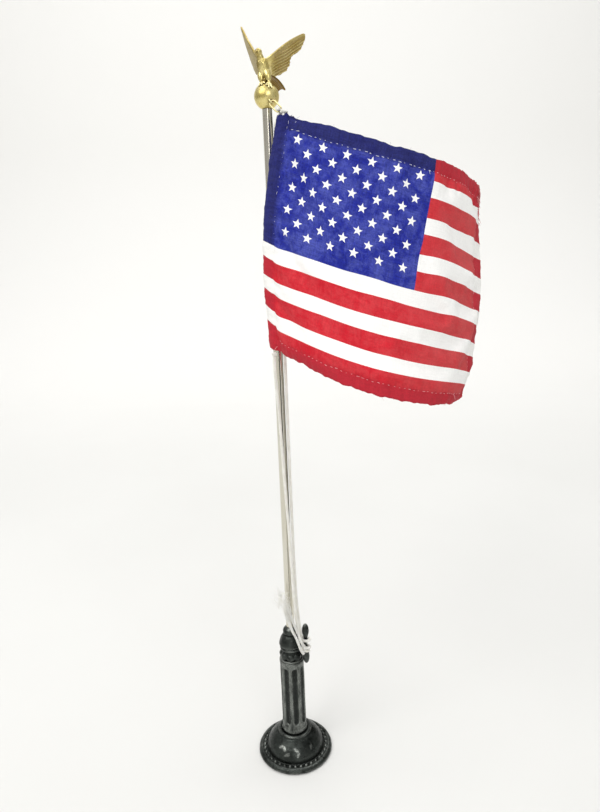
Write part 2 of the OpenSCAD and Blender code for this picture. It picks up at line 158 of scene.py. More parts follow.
def register(obj, slot, carrier=None, *replaced):
    """Attaches the piece to what it moves with and hides the CAD pieces it replaces; slot is not
    used.
    """
    if carrier:
        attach(obj, carrier)
    if replaced:
        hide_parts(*replaced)


def apply_modifiers(obj):
    graph = bpy.context.evaluated_depsgraph_get()
    mesh = bpy.data.meshes.new_from_object(obj.evaluated_get(graph), depsgraph=graph)
    obj.modifiers.clear()
    obj.data = mesh


class Shape:
    """Gathers mesh parts in millimetres and makes one object of them."""

    def __init__(self):
        self.verts, self.faces, self.kinds, self.count = [], [], [], 0

    def add(self, verts, faces, kind=0):
        self.verts.append(np.asarray(verts, float))
        self.faces += [tuple(i + self.count for i in face) for face in faces]
        self.kinds += [kind] * len(faces)
        self.count += len(verts)

    def sweep(self, path, radius, side, up, sides, kind=0, closed=False, flat=1.0):
        """An ellipse along a path; flat is its height over its width."""
        angle = 2 * pi * np.arange(sides) / sides
        verts = path[:, None, :] + radius[:, None, None] * (
            np.cos(angle)[:, None] * side[..., None, :]
            + flat * np.sin(angle)[:, None] * up[..., None, :])
        faces = grid_faces(len(path), sides, wrap_rows=closed, wrap_cols=True)
        if not closed:
            faces.append(tuple(range(sides - 1, -1, -1)))
            faces.append(tuple((len(path) - 1) * sides + k for k in range(sides)))
        self.add(verts.reshape(-1, 3), faces, kind)

    def tube(self, path, radius, sides=8, kind=0, closed=False, flat=1.0):
        """radius is one value, one for each point, or a (start, end) tuple."""
        path = np.asarray(path, float)
        if isinstance(radius, tuple):
            radius = np.linspace(*radius, len(path))
        radius = np.broadcast_to(np.asarray(radius, float), (len(path),))
        _, side, up = frames_of(path, closed)
        self.sweep(path, radius, side, up, sides, kind, closed, flat)

    def strand(self, points, steps, radius, sides, kind=0):
        self.tube(curve(points, steps), radius, sides, kind)

    def lay(self, path, twist, radius, off, sides, closed=False):
        """Strands round a path; twist holds each strand's angles along it."""
        _, side, up = frames_of(path, closed)
        for angle in twist:
            ray = np.cos(angle)[:, None] * side + np.sin(angle)[:, None] * up
            self.tube(path + off * ray, radius, sides, closed=closed)

    def cord(self, path, radius=0.42, off=0.37, pitch=3.4, phase=0.0):
        """Three-strand cord; off is how far the strands lie from its middle."""
        path, run = resample(np.asarray(path, float), 0.32)
        swell = 1 + 0.05 * np.sin(run * 1.7 + phase) + 0.04 * np.sin(run * 0.61 + 2 * phase)
        twist = [phase + 2 * pi * (run / pitch + k / 3) + 0.15 * np.sin(run * 0.9 + k)
                 for k in range(3)]
        self.lay(path, twist, radius * swell, off, 7)

    def fuzz(self, path, count, rng, reach=0.9, off=0.72):
        """Short loose fibres standing off a cord."""
        thick = 0.035
        path, _ = resample(np.asarray(path, float), 0.5)
        ahead, side, up = frames_of(path)
        for _ in range(count):
            i = int(rng.integers(1, len(path) - 1))
            angle = rng.uniform(0, 2 * pi)
            ray = math.cos(angle) * side[i] + math.sin(angle) * up[i]
            bend = math.cos(angle + 1.2) * side[i] + math.sin(angle + 1.2) * up[i]
            along = ahead[i] * rng.choice([-1, 1]) * rng.uniform(0.5, 1.6)
            root = path[i] + ray * off * 0.8
            mid = root + ray * reach * rng.uniform(0.15, 0.5) + along * 0.5
            tip = (mid + bend * reach * rng.uniform(0.1, 0.5) + along * 0.6
                   + ray * rng.uniform(-0.1, 0.2))
            self.strand([root, mid, tip], 3, (thick, thick * 0.4), 3)

    def blob(self, centre, radii, axis=(0, 0, 1), around=40, rings=26, swell=None):
        """An ellipsoid, its third radius along axis; swell(polar, turn) can push its skin."""
        z = unit(axis)
        x = unit(np.cross([0.3, 1, 0.1], z))
        y = np.cross(z, x)
        polar, turn = np.meshgrid(np.linspace(0, pi, rings), 2 * pi * np.arange(around) / around,
                                  indexing="ij")
        ray = np.stack([radii[0] * np.sin(polar) * np.cos(turn),
                        radii[1] * np.sin(polar) * np.sin(turn), radii[2] * np.cos(polar)], -1)
        if swell is not None:
            ray = ray * swell(polar, turn)[..., None]
        verts = np.asarray(centre) + ray[..., 0:1] * x + ray[..., 1:2] * y + ray[..., 2:3] * z
        faces = grid_faces(rings, around, wrap_cols=True)
        self.add(verts.reshape(-1, 3), [tuple(reversed(face)) for face in faces])

    def make(self, name, mats, *told):
        verts = np.concatenate(self.verts) * MM
        obj = new_object(name, verts.tolist(), self.faces, mats, self.kinds)
        if told:
            register(obj, *told)
        return obj


# ---------------------------------------------------------------- materials
class Shader:
    """A short way to write a node tree that ends in one Principled BSDF."""

    def __init__(self, name):
        self.mat = bpy.data.materials.new(name)
        self.mat.use_nodes = True
        self.tree = self.mat.node_tree
        self.tree.nodes.clear()
        output = self.node("OutputMaterial")
        self.bsdf = self.node("BsdfPrincipled")
        self.put(output, 0, self.bsdf.outputs[0])

    def put(self, node, key, value):
        if isinstance(value, bpy.types.NodeSocket):
            self.tree.links.new(value, node.inputs[key])
        elif value is not None:
            socket = node.inputs[key]
            if hasattr(value, "__len__") and len(value) == 3 and len(socket.default_value) == 4:
                value = tuple(value) + (1.0,)
            socket.default_value = value

    def node(self, kind, inputs=(), **settings):
        """inputs is a dict by socket, or a list in socket order."""
        node = self.tree.nodes.new("ShaderNode" + kind)
        for key, value in settings.items():
            setattr(node, key, value)
        for key, value in inputs.items() if isinstance(inputs, dict) else enumerate(inputs):
            self.put(node, key, value)
        return node

    def math(self, op, *values, clamp=False):
        return self.node("Math", values, operation=op, use_clamp=clamp).outputs[0]

    def add(self, a, b):
        return self.math("ADD", a, b)

    def mul(self, a, b, clamp=False):
        return self.math("MULTIPLY", a, b, clamp=clamp)

    def invert(self, x):
        return self.math("SUBTRACT", 1.0, x, clamp=True)

    def ramp(self, x, lo, hi, out=(0.0, 1.0)):
        """Smooth step: x from lo to hi gives out[0] to out[1]."""
        return self.node("MapRange", [x, lo, hi, *out],
                         interpolation_type="SMOOTHSTEP").outputs[0]

    def mix(self, factor, a, b, kind="MIX"):
        return self.node("Mix", {0: factor, 6: a, 7: b}, data_type="RGBA",
                         blend_type=kind).outputs[2]

    def coord(self, kind="Object"):
        return self.node("TexCoord").outputs[kind]

    def split(self, vec):
        return self.node("SeparateXYZ", [vec]).outputs

    def scaled(self, vec, *scale):
        return self.node("Mapping", {0: vec, 3: scale}).outputs[0]

    def noise(self, vec, scale, detail=4, rough=0.55, warp=0.0):
        return self.node("TexNoise", {"Vector": vec, "Scale": scale, "Detail": detail,
                                      "Roughness": rough, "Distortion": warp}).outputs[0]

    def attr(self, name):
        return self.node("Attribute", attribute_name=name).outputs["Fac"]

    def bump(self, height, dist, strength=1.0, normal=None):
        return self.node("Bump", {"Height": height, "Distance": dist, "Strength": strength,
                                  "Normal": normal}).outputs[0]

    def edge(self, radius):
        """1 on flat and less on sharp outer or inner edges, from the bevelled normal."""
        bevel = self.node("Bevel", [radius], samples=6)
        geo = self.node("NewGeometry")
        return self.node("VectorMath", [bevel.outputs[0], geo.outputs["Normal"]],
                         operation="DOT_PRODUCT").outputs["Value"]

    def ao(self, dist, inside=False):
        return self.node("AmbientOcclusion", {"Distance": dist}, samples=8,
                         inside=inside).outputs["AO"]

    def finish(self, **inputs):
        for key, value in inputs.items():
            self.put(self.bsdf, key.replace("_", " "), value)
        return self.mat


def make_cast(name, fluted=False):
    """Dark cast metal, bare on its edges as wear and painted highlight, with painted shade in its
    hollows; fluted also lightens the column's ridges with wear and painted highlight and darkens its
    flutes with painted shade.
    """
    sh = Shader(name)
    pos = sh.coord()
    big = sh.noise(pos, scale=160, detail=5, rough=0.6)
    mid = sh.noise(pos, scale=620, detail=5, rough=0.65)
    fine = sh.noise(pos, scale=2600, detail=3, rough=0.6)
    cloud = sh.noise(pos, scale=75, detail=3, rough=0.5, warp=0.6)
    # painted highlight: sharp edges and rims lighter, as wear and as light caught on them
    rub_and_highlight = sh.ramp(sh.edge(radius=0.0006), lo=0.995, hi=0.9)
    convex = sh.ramp(sh.ao(dist=0.0014, inside=True), lo=0.93, hi=0.62)
    wear_and_highlight = sh.mul(sh.math("MAXIMUM", rub_and_highlight, convex), sh.ramp(big, lo=0.34, hi=0.6), clamp=True)
    # painted shade: darker in the hollows, from ambient occlusion
    cavity_shade = sh.ramp(sh.ao(dist=0.0022), lo=0.35, hi=0.92)
    if fluted:
        radius = sh.node("VectorMath", [sh.scaled(pos, 1, 1, 0)],
                         operation="LENGTH").outputs["Value"]
        streak = sh.noise(sh.scaled(pos, 1, 1, 0.3), scale=420, detail=5, rough=0.7)
        # painted highlight: the column's ridges lighter, as wear and as light caught on them
        ridge = sh.mul(sh.ramp(radius, lo=0.00592, hi=0.00626), sh.ramp(streak, lo=0.30, hi=0.62))
        wear_and_highlight = sh.math("MAXIMUM", wear_and_highlight, sh.mul(ridge, 0.80))
        # painted shade: the flutes darker than the ridges
        cavity_shade = sh.mul(cavity_shade, sh.ramp(radius, lo=0.00545, hi=0.00600, out=(0.25, 1.0)))
    # two dark greens, then clouds, specks, bare metal on worn edges that is also painted highlight,
    # and painted shade in the hollows
    col = sh.mix(sh.ramp(big, lo=0.36, hi=0.66), (0.012, 0.015, 0.013), (0.034, 0.040, 0.036))
    col = sh.mix(sh.mul(sh.ramp(cloud, lo=0.5, hi=0.72), 0.5), col, (0.066, 0.074, 0.068))
    col = sh.mix(sh.mul(sh.ramp(mid, lo=0.60, hi=0.78), 0.5), col, (0.105, 0.115, 0.107))
    col = sh.mix(sh.mul(wear_and_highlight, 0.85), col, (0.27, 0.285, 0.265))
    col = sh.mix(sh.invert(cavity_shade), col, (0.009, 0.011, 0.010))
    rough = sh.add(sh.ramp(mid, lo=0.3, hi=0.75, out=(0.24, 0.46)), sh.mul(wear_and_highlight, -0.05))
    normal = sh.bump(sh.add(sh.mul(mid, 0.6), sh.mul(fine, 0.25)), dist=0.00016, strength=0.8)
    cells = sh.node("TexVoronoi", {"Vector": pos, "Scale": 900}, feature="SMOOTH_F1").outputs[0]
    normal = sh.bump(cells, dist=0.00007, strength=0.5, normal=normal)
    return sh.finish(Base_Color=col, Metallic=0.72, Roughness=rough, Normal=normal)


def make_plate():
    """Plated tube, drawn along Z, with a few brown spots."""
    sh = Shader("plated_tube")
    pos = sh.coord()
    drawn = sh.noise(sh.scaled(pos, 1, 1, 0.02), scale=2400, detail=3, rough=0.6)
    spots = sh.noise(pos, scale=420, detail=4, rough=0.6)
    haze = sh.noise(sh.scaled(pos, 1, 1, 0.12), scale=160, detail=3, rough=0.5)
    col = sh.mix(sh.ramp(haze, lo=0.35, hi=0.7), (0.63, 0.60, 0.51), (0.71, 0.685, 0.605))
    col = sh.mix(sh.mul(sh.ramp(spots, lo=0.66, hi=0.76), 0.6), col, (0.42, 0.36, 0.27))
    rough = sh.add(sh.ramp(haze, lo=0.3, hi=0.75, out=(0.10, 0.20)), sh.mul(drawn, 0.08))
    return sh.finish(Base_Color=col, Metallic=1.0, Roughness=rough,
                     Normal=sh.bump(drawn, dist=0.00002, strength=0.5))


def make_gilt():
    """Gilt metal, bright where rubbed and as painted highlight on thin parts, with brown painted
    shade in its hollows and where "shade" says.
    """
    sh = Shader("gilt")
    pos = sh.coord()
    tone = sh.noise(pos, scale=210, detail=4, rough=0.6)
    grain = sh.noise(pos, scale=1500, detail=4, rough=0.65)
    hollow_shade = sh.ramp(sh.ao(dist=0.0022), lo=0.35, hi=0.92)
    col = sh.mix(sh.ramp(tone, lo=0.35, hi=0.68), (0.62, 0.50, 0.165), (0.80, 0.69, 0.31))
    # painted highlight: thin and convex parts lighter, as rubbed gilt and as light caught on them
    rub_and_highlight = sh.ramp(sh.ao(dist=0.0009, inside=True), lo=0.9, hi=0.6)
    shade = sh.attr("shade")
    unshaded = sh.ramp(shade, lo=0.02, hi=0.12, out=(1.0, 0.0))
    col = sh.mix(sh.mul(sh.mul(rub_and_highlight, 0.6), unshaded), col, (0.92, 0.85, 0.50))
    # painted shade: brown where the "shade" attribute says
    col = sh.mix(shade, col, (0.165, 0.095, 0.018))
    # painted shade: brown in the hollows, from ambient occlusion
    col = sh.mix(sh.invert(hollow_shade), col, (0.15, 0.085, 0.018))
    rough = sh.ramp(grain, lo=0.3, hi=0.75, out=(0.24, 0.40))
    normal = sh.bump(sh.add(grain, sh.mul(tone, 0.8)), dist=0.00009, strength=0.55)
    return sh.finish(Base_Color=col, Metallic=1.0, Roughness=rough, Normal=normal)


def make_steel():
    """Turned steel, its fine lines along X."""
    sh = Shader("screw_steel")
    pos = sh.coord()
    lines = sh.noise(sh.scaled(pos, 0.08, 1, 1), scale=3000, detail=3, rough=0.6)
    spots = sh.noise(pos, scale=500, detail=4, rough=0.6)
    col = sh.mix(sh.ramp(spots, lo=0.4, hi=0.7), (0.42, 0.42, 0.43), (0.62, 0.61, 0.58))
    return sh.finish(Base_Color=col, Metallic=1.0,
                     Roughness=sh.ramp(lines, lo=0.3, hi=0.7, out=(0.24, 0.44)),
                     Normal=sh.bump(lines, dist=0.00003, strength=0.5))


def make_cord(name, low, high, sheen=0.35):
    """Fibrous cord between two colours, with painted shade in its grooves."""
    sh = Shader(name)
    dim = tuple(0.66 * k for k in low)
    pos = sh.coord()
    fibre = sh.noise(sh.scaled(pos, 1, 1, 0.22), scale=5200, detail=3, rough=0.6)
    patch = sh.noise(pos, scale=260, detail=4, rough=0.6)
    col = sh.mix(sh.ramp(patch, lo=0.35, hi=0.7), low, high)
    col = sh.mix(sh.mul(sh.ramp(fibre, lo=0.35, hi=0.7), 0.22), col, dim)
    # painted shade: dimmer in the grooves between the strands, from ambient occlusion
    groove_shade = sh.ramp(sh.ao(dist=0.0006), lo=0.3, hi=0.95)
    col = sh.mix(sh.mul(sh.invert(groove_shade), 0.5), col, dim)
    return sh.finish(Base_Color=col, Roughness=0.72, Sheen_Weight=sheen, Sheen_Roughness=0.5,
                     Subsurface_Weight=0.25, Subsurface_Radius=(0.001, 0.001, 0.0008),
                     Subsurface_Scale=0.5, Normal=sh.bump(fibre, dist=0.00008, strength=0.7))


def make_cloth(name, low, high, hem, fade=None, weave=0.10):
    """Printed plain weave; UV is the cloth's own millimetres / 100, weave its contrast."""
    sh = Shader(name)
    uv = sh.coord("UV")
    axes = sh.split(uv)
    pitch = 0.0042
    wave_u = sh.math("SINE", sh.mul(axes[0], pi / pitch))
    wave_v = sh.math("SINE", sh.mul(axes[1], pi / pitch))
    knit = sh.mul(wave_u, wave_v)
    over = sh.math("ABSOLUTE", knit)
    side = sh.ramp(knit, lo=-0.25, hi=0.25)
    warp = sh.noise(sh.scaled(uv, 1.0, 0.07, 1), scale=190, detail=3, rough=0.6)
    weft = sh.noise(sh.scaled(uv, 0.07, 1.0, 1), scale=190, detail=3, rough=0.6)
    slub = sh.mul(sh.add(warp, weft), 0.5)
    blot = sh.add(sh.mul(sh.noise(uv, scale=26, detail=5, rough=0.65, warp=0.5), 0.6),
                  sh.mul(sh.noise(uv, scale=6.5, detail=2, rough=0.5, warp=0.4), 0.4))
    fine = sh.noise(uv, scale=120, detail=4, rough=0.7)
    col = sh.mix(sh.ramp(blot, lo=0.38, hi=0.62), low, high)
    # painted sheen: the red paler and pinker towards the fly
    if fade is not None:
        patch = sh.noise(uv, scale=14, detail=4, rough=0.6)
        patch = sh.ramp(patch, lo=0.25, hi=0.7, out=(0.55, 1.0))
        col = sh.mix(sh.mul(sh.attr("fade"), patch), col, fade)
    # hems and sleeve darker: double cloth, and painted shade
    col = sh.mix(sh.attr("hem"), col, hem)
    shade = sh.add(sh.ramp(slub, lo=0.36, hi=0.64, out=(1 - 1.5 * weave, 1 + weave)),
                   sh.ramp(fine, lo=0.3, hi=0.7, out=(-1.3 * weave, 1.2 * weave)))
    shade = sh.add(shade, sh.mul(sh.math("SUBTRACT", side, 0.5), 0.5 * weave))
    grey = sh.node("CombineXYZ", [shade] * 3).outputs[0]
    col = sh.mix(1.0, col, grey, "MULTIPLY")
    normal = sh.bump(sh.add(sh.mul(over, 0.6), sh.mul(slub, 0.9)), dist=0.00010, strength=0.75)
    normal = sh.bump(sh.noise(uv, scale=30, detail=3, rough=0.6), dist=0.00025, strength=0.35,
                     normal=normal)
    return sh.finish(Base_Color=col, Roughness=sh.ramp(slub, lo=0.3, hi=0.7, out=(0.62, 0.8)),
                     Sheen_Weight=0.04, Sheen_Roughness=0.4, Specular_IOR_Level=0.18,
                     Normal=normal)


def make_felt():
    sh = Shader("felt")
    pos = sh.coord()
    nap = sh.noise(pos, scale=900, detail=5, rough=0.75, warp=1.5)
    patch = sh.noise(pos, scale=200, detail=3, rough=0.5)
    col = sh.mix(sh.ramp(nap, lo=0.3, hi=0.7), (0.010, 0.040, 0.020), (0.045, 0.12, 0.065))
    col = sh.mix(sh.mul(sh.ramp(patch, lo=0.5, hi=0.8), 0.4), col, (0.06, 0.11, 0.07))
    return sh.finish(Base_Color=col, Roughness=0.95, Sheen_Weight=0.6,
                     Normal=sh.bump(nap, dist=0.0003, strength=0.9))


CAST = make_cast("cast_dark")
PLATE = make_plate()
GILT = make_gilt()
STEEL = make_steel()
FELT = make_felt()
FLUTED = make_cast("cast_fluted", fluted=True)
CORD = make_cord("cord", low=(0.80, 0.785, 0.72), high=(0.90, 0.89, 0.84))
FRAY = make_cord("cord_fibres", low=(0.86, 0.85, 0.79), high=(0.93, 0.925, 0.89))
THREAD_WHITE = make_cord("thread", low=(0.52, 0.54, 0.68), high=(0.74, 0.75, 0.82))
THREAD_RED = make_cord("thread_dyed", low=(0.74, 0.23, 0.26), high=(0.86, 0.46, 0.48))
# hem colours: the darker double cloth, darkened further as painted shade
BLUE = make_cloth("cloth_blue", low=(0.012, 0.020, 0.285), high=(0.062, 0.080, 0.40),
                  hem=(0.016, 0.018, 0.115), weave=0.16)
# the red's last colour is its painted sheen towards the fly
RED = make_cloth("cloth_red", low=(0.60, 0.012, 0.026), high=(0.64, 0.040, 0.052),
                 hem=(0.46, 0.020, 0.036), fade=(0.58, 0.092, 0.092), weave=0.06)
WHITE = make_cloth("cloth_white", low=(0.95, 0.95, 0.935), high=(0.97, 0.97, 0.955),
                   hem=(0.90, 0.895, 0.87), weave=0.02)

# ------------------------------------------------------- CAD pieces that stay
# material, slot, pieces
LOOKS = (
    (CAST, "cast_dark", ("base_foot",)),
    (FLUTED, "cast_dark", ("column",)),
    (CAST, "cast_dark", ("capital", "pole_collar", "cleat")),
    (PLATE, "plated_tube", ("pole",)),
    (STEEL, "screw_steel", ("finial_pin", "tie_screw", "lock_washer")),
    (GILT, "gilt", ("finial_ball", "halyard_eye")),
)
for mat, slot, names in LOOKS:
    for name in names:
        piece = NODES[name]
        piece.data.materials.clear()
        piece.data.materials.append(mat)


def cloud_texture(name, scale, depth):
    texture = bpy.data.textures.new(name, "CLOUDS")
    texture.noise_scale, texture.noise_depth = scale, depth
    return texture


LUMPS = cloud_texture("cast_lumps", scale=0.0016, depth=3)
SAG = cloud_texture("cast_sag", scale=0.006, depth=2)


def weld(obj):
    obj.modifiers.new("join", "WELD").merge_threshold = 1e-6


def remesh(obj, voxel, factor, iterations):
    """Fuses a piece into one skin and softens its edges."""
    skin = obj.modifiers.new("skin", "REMESH")
    skin.mode, skin.voxel_size, skin.use_smooth_shade = "VOXEL", voxel, True
    soften = obj.modifiers.new("soften", "SMOOTH")
    soften.factor, soften.iterations = factor, iterations


def cast_skin(name, voxel, lumps, sag):
    """Softens the sharp drawn edges and gives the uneven skin of a casting."""
    obj = NODES[name]
    weld(obj)
    remesh(obj, voxel, factor=0.5, iterations=3)
    for texture, strength in ((LUMPS, lumps), (SAG, sag)):
        push = obj.modifiers.new(texture.name, "DISPLACE")
        push.texture, push.strength = texture, strength
        push.mid_level, push.texture_coords = 0.5, "LOCAL"


cast_skin("base_foot", voxel=0.00022, lumps=0.00010, sag=0.00022)
cast_skin("column", voxel=0.00020, lumps=0.00010, sag=0.00020)
cast_skin("capital", voxel=0.00018, lumps=0.00012, sag=0.00022)
cast_skin("pole_collar", voxel=0.00014, lumps=0.00006, sag=0.00008)
cast_skin("cleat", voxel=0.00012, lumps=0.00006, sag=0.00008)
for name in ("finial_ball", "halyard_eye", "pole", "finial_pin", "tie_screw", "lock_washer"):
    weld(NODES[name])
for name in ("finial_ball", "halyard_eye"):
    cast_skin(name, voxel=0.00012, lumps=0.00004, sag=0.00006)

# ------------------------------------------------------------ relief and felt
# radius, z: the foot's dome from its edge to its top
DOME = np.array([[15.6, 3.9], [15.5, 4.5], [15.15, 5.7], [14.4, 7.2], [13.2, 8.9], [11.7, 10.5],
                 [10.3, 11.6], [9.1, 12.3]])


def dome_point(up, angle, lift):
    """A point at lift off the foot's dome; up runs 0..1 from its edge to its top."""
    stations = np.linspace(0, 1, len(DOME))
    r, z = [np.interp(up, stations, DOME[:, k]) for k in (0, 1)]
    next_r, next_z = [np.interp(up + 0.02, stations, DOME[:, k]) for k in (0, 1)]
    slope = unit(np.stack([next_r - r + 1e-6 * (up >= 0.98), next_z - z + 1e-9], -1))
    r, z = r + slope[..., 1] * lift, z - slope[..., 0] * lift
    return np.stack([r * np.cos(angle), r * np.sin(angle), z], -1)


def leaf(shape, rng, angle, row, swing):
    """One low cast leaf: a ribbed oval slab laid on the dome."""
    middle = math.radians(angle + (6.5 if row else 0) + rng.uniform(-3.5, 3.5))
    middle_up = (0.42 if row else 0.60) + rng.uniform(-0.02, 0.02)
    tilt = swing + rng.uniform(-0.6, 0.6)
    long, wide = rng.uniform(1.0, 1.6), rng.uniform(0.45, 0.68)
    cols, rows, high, sunk = 16, 11, 0.1035, 0.12
    x, y = np.meshgrid(np.linspace(-1, 1, cols), np.linspace(-1, 1, rows))
    ribs = 0.75 + 0.25 * np.cos(pi * 5 * (x + 0.35 * np.abs(y)))
    height = np.clip(1 - y ** 2, 0, 1) ** 0.7 * np.clip(1 - x ** 4, 0, 1) * ribs
    height = height - 0.25 * bell(y, 0, 0.12) * (1 - x ** 2)
    along = x * long
    across = y * np.sqrt(np.clip(1 - x ** 2, 0, 1)) * (0.75 + 0.25 * x) * wide
    cos, sin = math.cos(tilt), math.sin(tilt)
    # millimetres over the dome's mean radius and its length from edge to top
    angles = middle + (along * cos - across * sin) / 12.8
    up = middle_up + (along * sin + across * cos) / 11.5
    top = dome_point(up, angles, height * high - sunk).reshape(-1, 3)
    low = dome_point(up, angles, -0.35).reshape(-1, 3)
    shape.add(np.concatenate([top, low]), sum(slab_faces(rows, cols), []))


def dome_relief():
    """Leaves on the dome, front and back, and the fillet under the capital."""
    shape = Shape()
    rng = np.random.default_rng(5)
    for base in (-90, 90):
        for k in (-3, -2, 0, 3):
            for row in (0, 1):
                if row and k in (-3, 3):
                    continue
                leaf(shape, rng, base + k * 13, row, 0.55 if (k + row) % 2 else -0.5)
    angle = np.linspace(0, 2 * pi, 97)[:-1]
    r = 5.72 + 0.05 * np.sin(3 * angle) + 0.03 * np.sin(11 * angle)
    fillet = np.stack([r * np.cos(angle), r * np.sin(angle), np.full_like(angle, 58.92)], 1)
    shape.tube(fillet, 0.62, 16, closed=True)
    shape.make("dome_relief", [CAST], "cast_dark", "stand")


dome_relief()


def felt():
    """A pressed disc with a soft edge and stray fibres below."""
    shape = Shape()
    rng = np.random.default_rng(8)
    around = 160
    # radius, z: across the bottom, round the edge and back over the top
    profile = ([(r, 0.03) for r in np.linspace(0.4, 17.7, 34)]
               + [(18.05, 0.10), (18.22, 0.26), (18.27, 0.5), (18.22, 0.78), (18.0, 0.9)]
               + [(r, 0.93) for r in np.linspace(17.2, 0.4, 8)])
    verts = []
    for radius, height in profile:
        for k in range(around):
            a = 2 * pi * k / around
            wobble = (0.05 * math.sin(7 * a) + 0.04 * math.sin(19 * a + 1)
                      + rng.uniform(-0.02, 0.02))
            r = radius + (wobble if radius > 17.5 else 0)
            z = height + (abs(rng.normal(0, 0.02)) if height < 0.2 else rng.uniform(-0.02, 0.0))
            verts.append((r * math.cos(a), r * math.sin(a), max(z, 0.0)))
    rings = len(profile)
    faces = [(b, a, d, c) for a, b, c, d in grid_faces(rings, around, wrap_cols=True)]
    faces.append(tuple(range(around)))
    faces.append(tuple((rings - 1) * around + k for k in range(around - 1, -1, -1)))
    shape.add(verts, faces)
    for _ in range(520):
        a = rng.uniform(0, 2 * pi)
        r = 17.0 * math.sqrt(rng.uniform(0, 1.0)) + (1.1 if rng.uniform() < 0.3 else 0)
        root = np.array([r * math.cos(a), r * math.sin(a), 0.12])
        legs = rng.normal(0, 0.5, (3, 3)) * np.array([1, 1, 0.05])
        fibre = curve([root, root + legs[0], root + legs[0] + legs[1]], 3)
        fibre[:, 2] = np.clip(fibre[:, 2], 0.04, 0.3)
        shape.tube(fibre, 0.03, 3)
    shape.make("felt_disc", [FELT], "felt", "stand", "felt_pad")


felt()

# -------------------------------------------------------------------- eagle
BALL_Z, BALL_RADIUS = 337.4, 5.62

# centre, radii, axis, whether the skin is plumed
BODY = (
    ((-1.0, -1.2, 348.6), (2.65, 2.35, 4.3), (-0.28, -0.34, 1), True),   # breast
    ((-0.3, -0.2, 346.2), (2.45, 2.2, 2.7), (0.1, 0.2, 1), True),        # belly
    ((-2.0, -2.4, 352.0), (1.6, 1.5, 2.2), (-0.3, -0.4, 1), True),       # neck
    ((-2.55, -3.3, 353.8), (1.62, 1.5, 1.65), (-0.4, -0.75, 0.3), False),  # head
    ((-2.75, -3.7, 354.45), (1.0, 0.75, 0.7), (-0.4, -0.9, 0), False),   # brow
)
BEAK = [(-2.9, -4.2, 353.9), (-3.25, -5.0, 353.75), (-3.45, -5.45, 353.25), (-3.45, -5.5, 352.85)]
JAW = [(-2.8, -4.1, 353.4), (-3.15, -4.8, 353.15), (-3.3, -5.05, 352.95)]

# the wing towards +X, as x and z in its own slanting plane
RIGHT_LEAD = [(-1.6, -2.2), (-0.3, -0.2), (3.1, 2.0), (7.2, 4.8), (11.3, 7.1), (14.4, 8.45),
              (16.4, 9.05), (17.15, 8.6)]
RIGHT_TRAIL = [(0.2, -6.0), (1.7, -6.9), (4.6, -7.2), (8.2, -5.4), (10.05, -2.8), (10.8, 0.0),
               (14.4, 2.4), (16.5, 5.7), (17.15, 7.8)]
# the wing towards -X, in space
LEFT_LEAD = [(-1.6, -0.8, 349.5), (-2.4, 0.2, 351.8), (-3.6, 2.2, 354.4), (-5.3, 5.0, 358.0),
             (-7.5, 8.6, 362.4), (-9.4, 11.4, 366.6), (-10.2, 12.6, 368.4)]
LEFT_TRAIL = [(-2.4, 4.0, 345.8), (-4.1, 7.2, 347.6), (-5.4, 10.0, 350.6), (-6.9, 12.5, 355.4),
              (-8.2, 13.6, 359.6), (-9.2, 13.9, 363.2), (-10.0, 13.6, 366.6),
              (-10.35, 13.0, 368.3)]


def right_wing_y(x, z):
    return -0.6 + 0.791 * x - 1.078 * z


def right_wing_point(x, z):
    return 0.42 + x, right_wing_y(x, z), 352.0 + z + 0.245 * (0.791 * x - 1.078 * z)


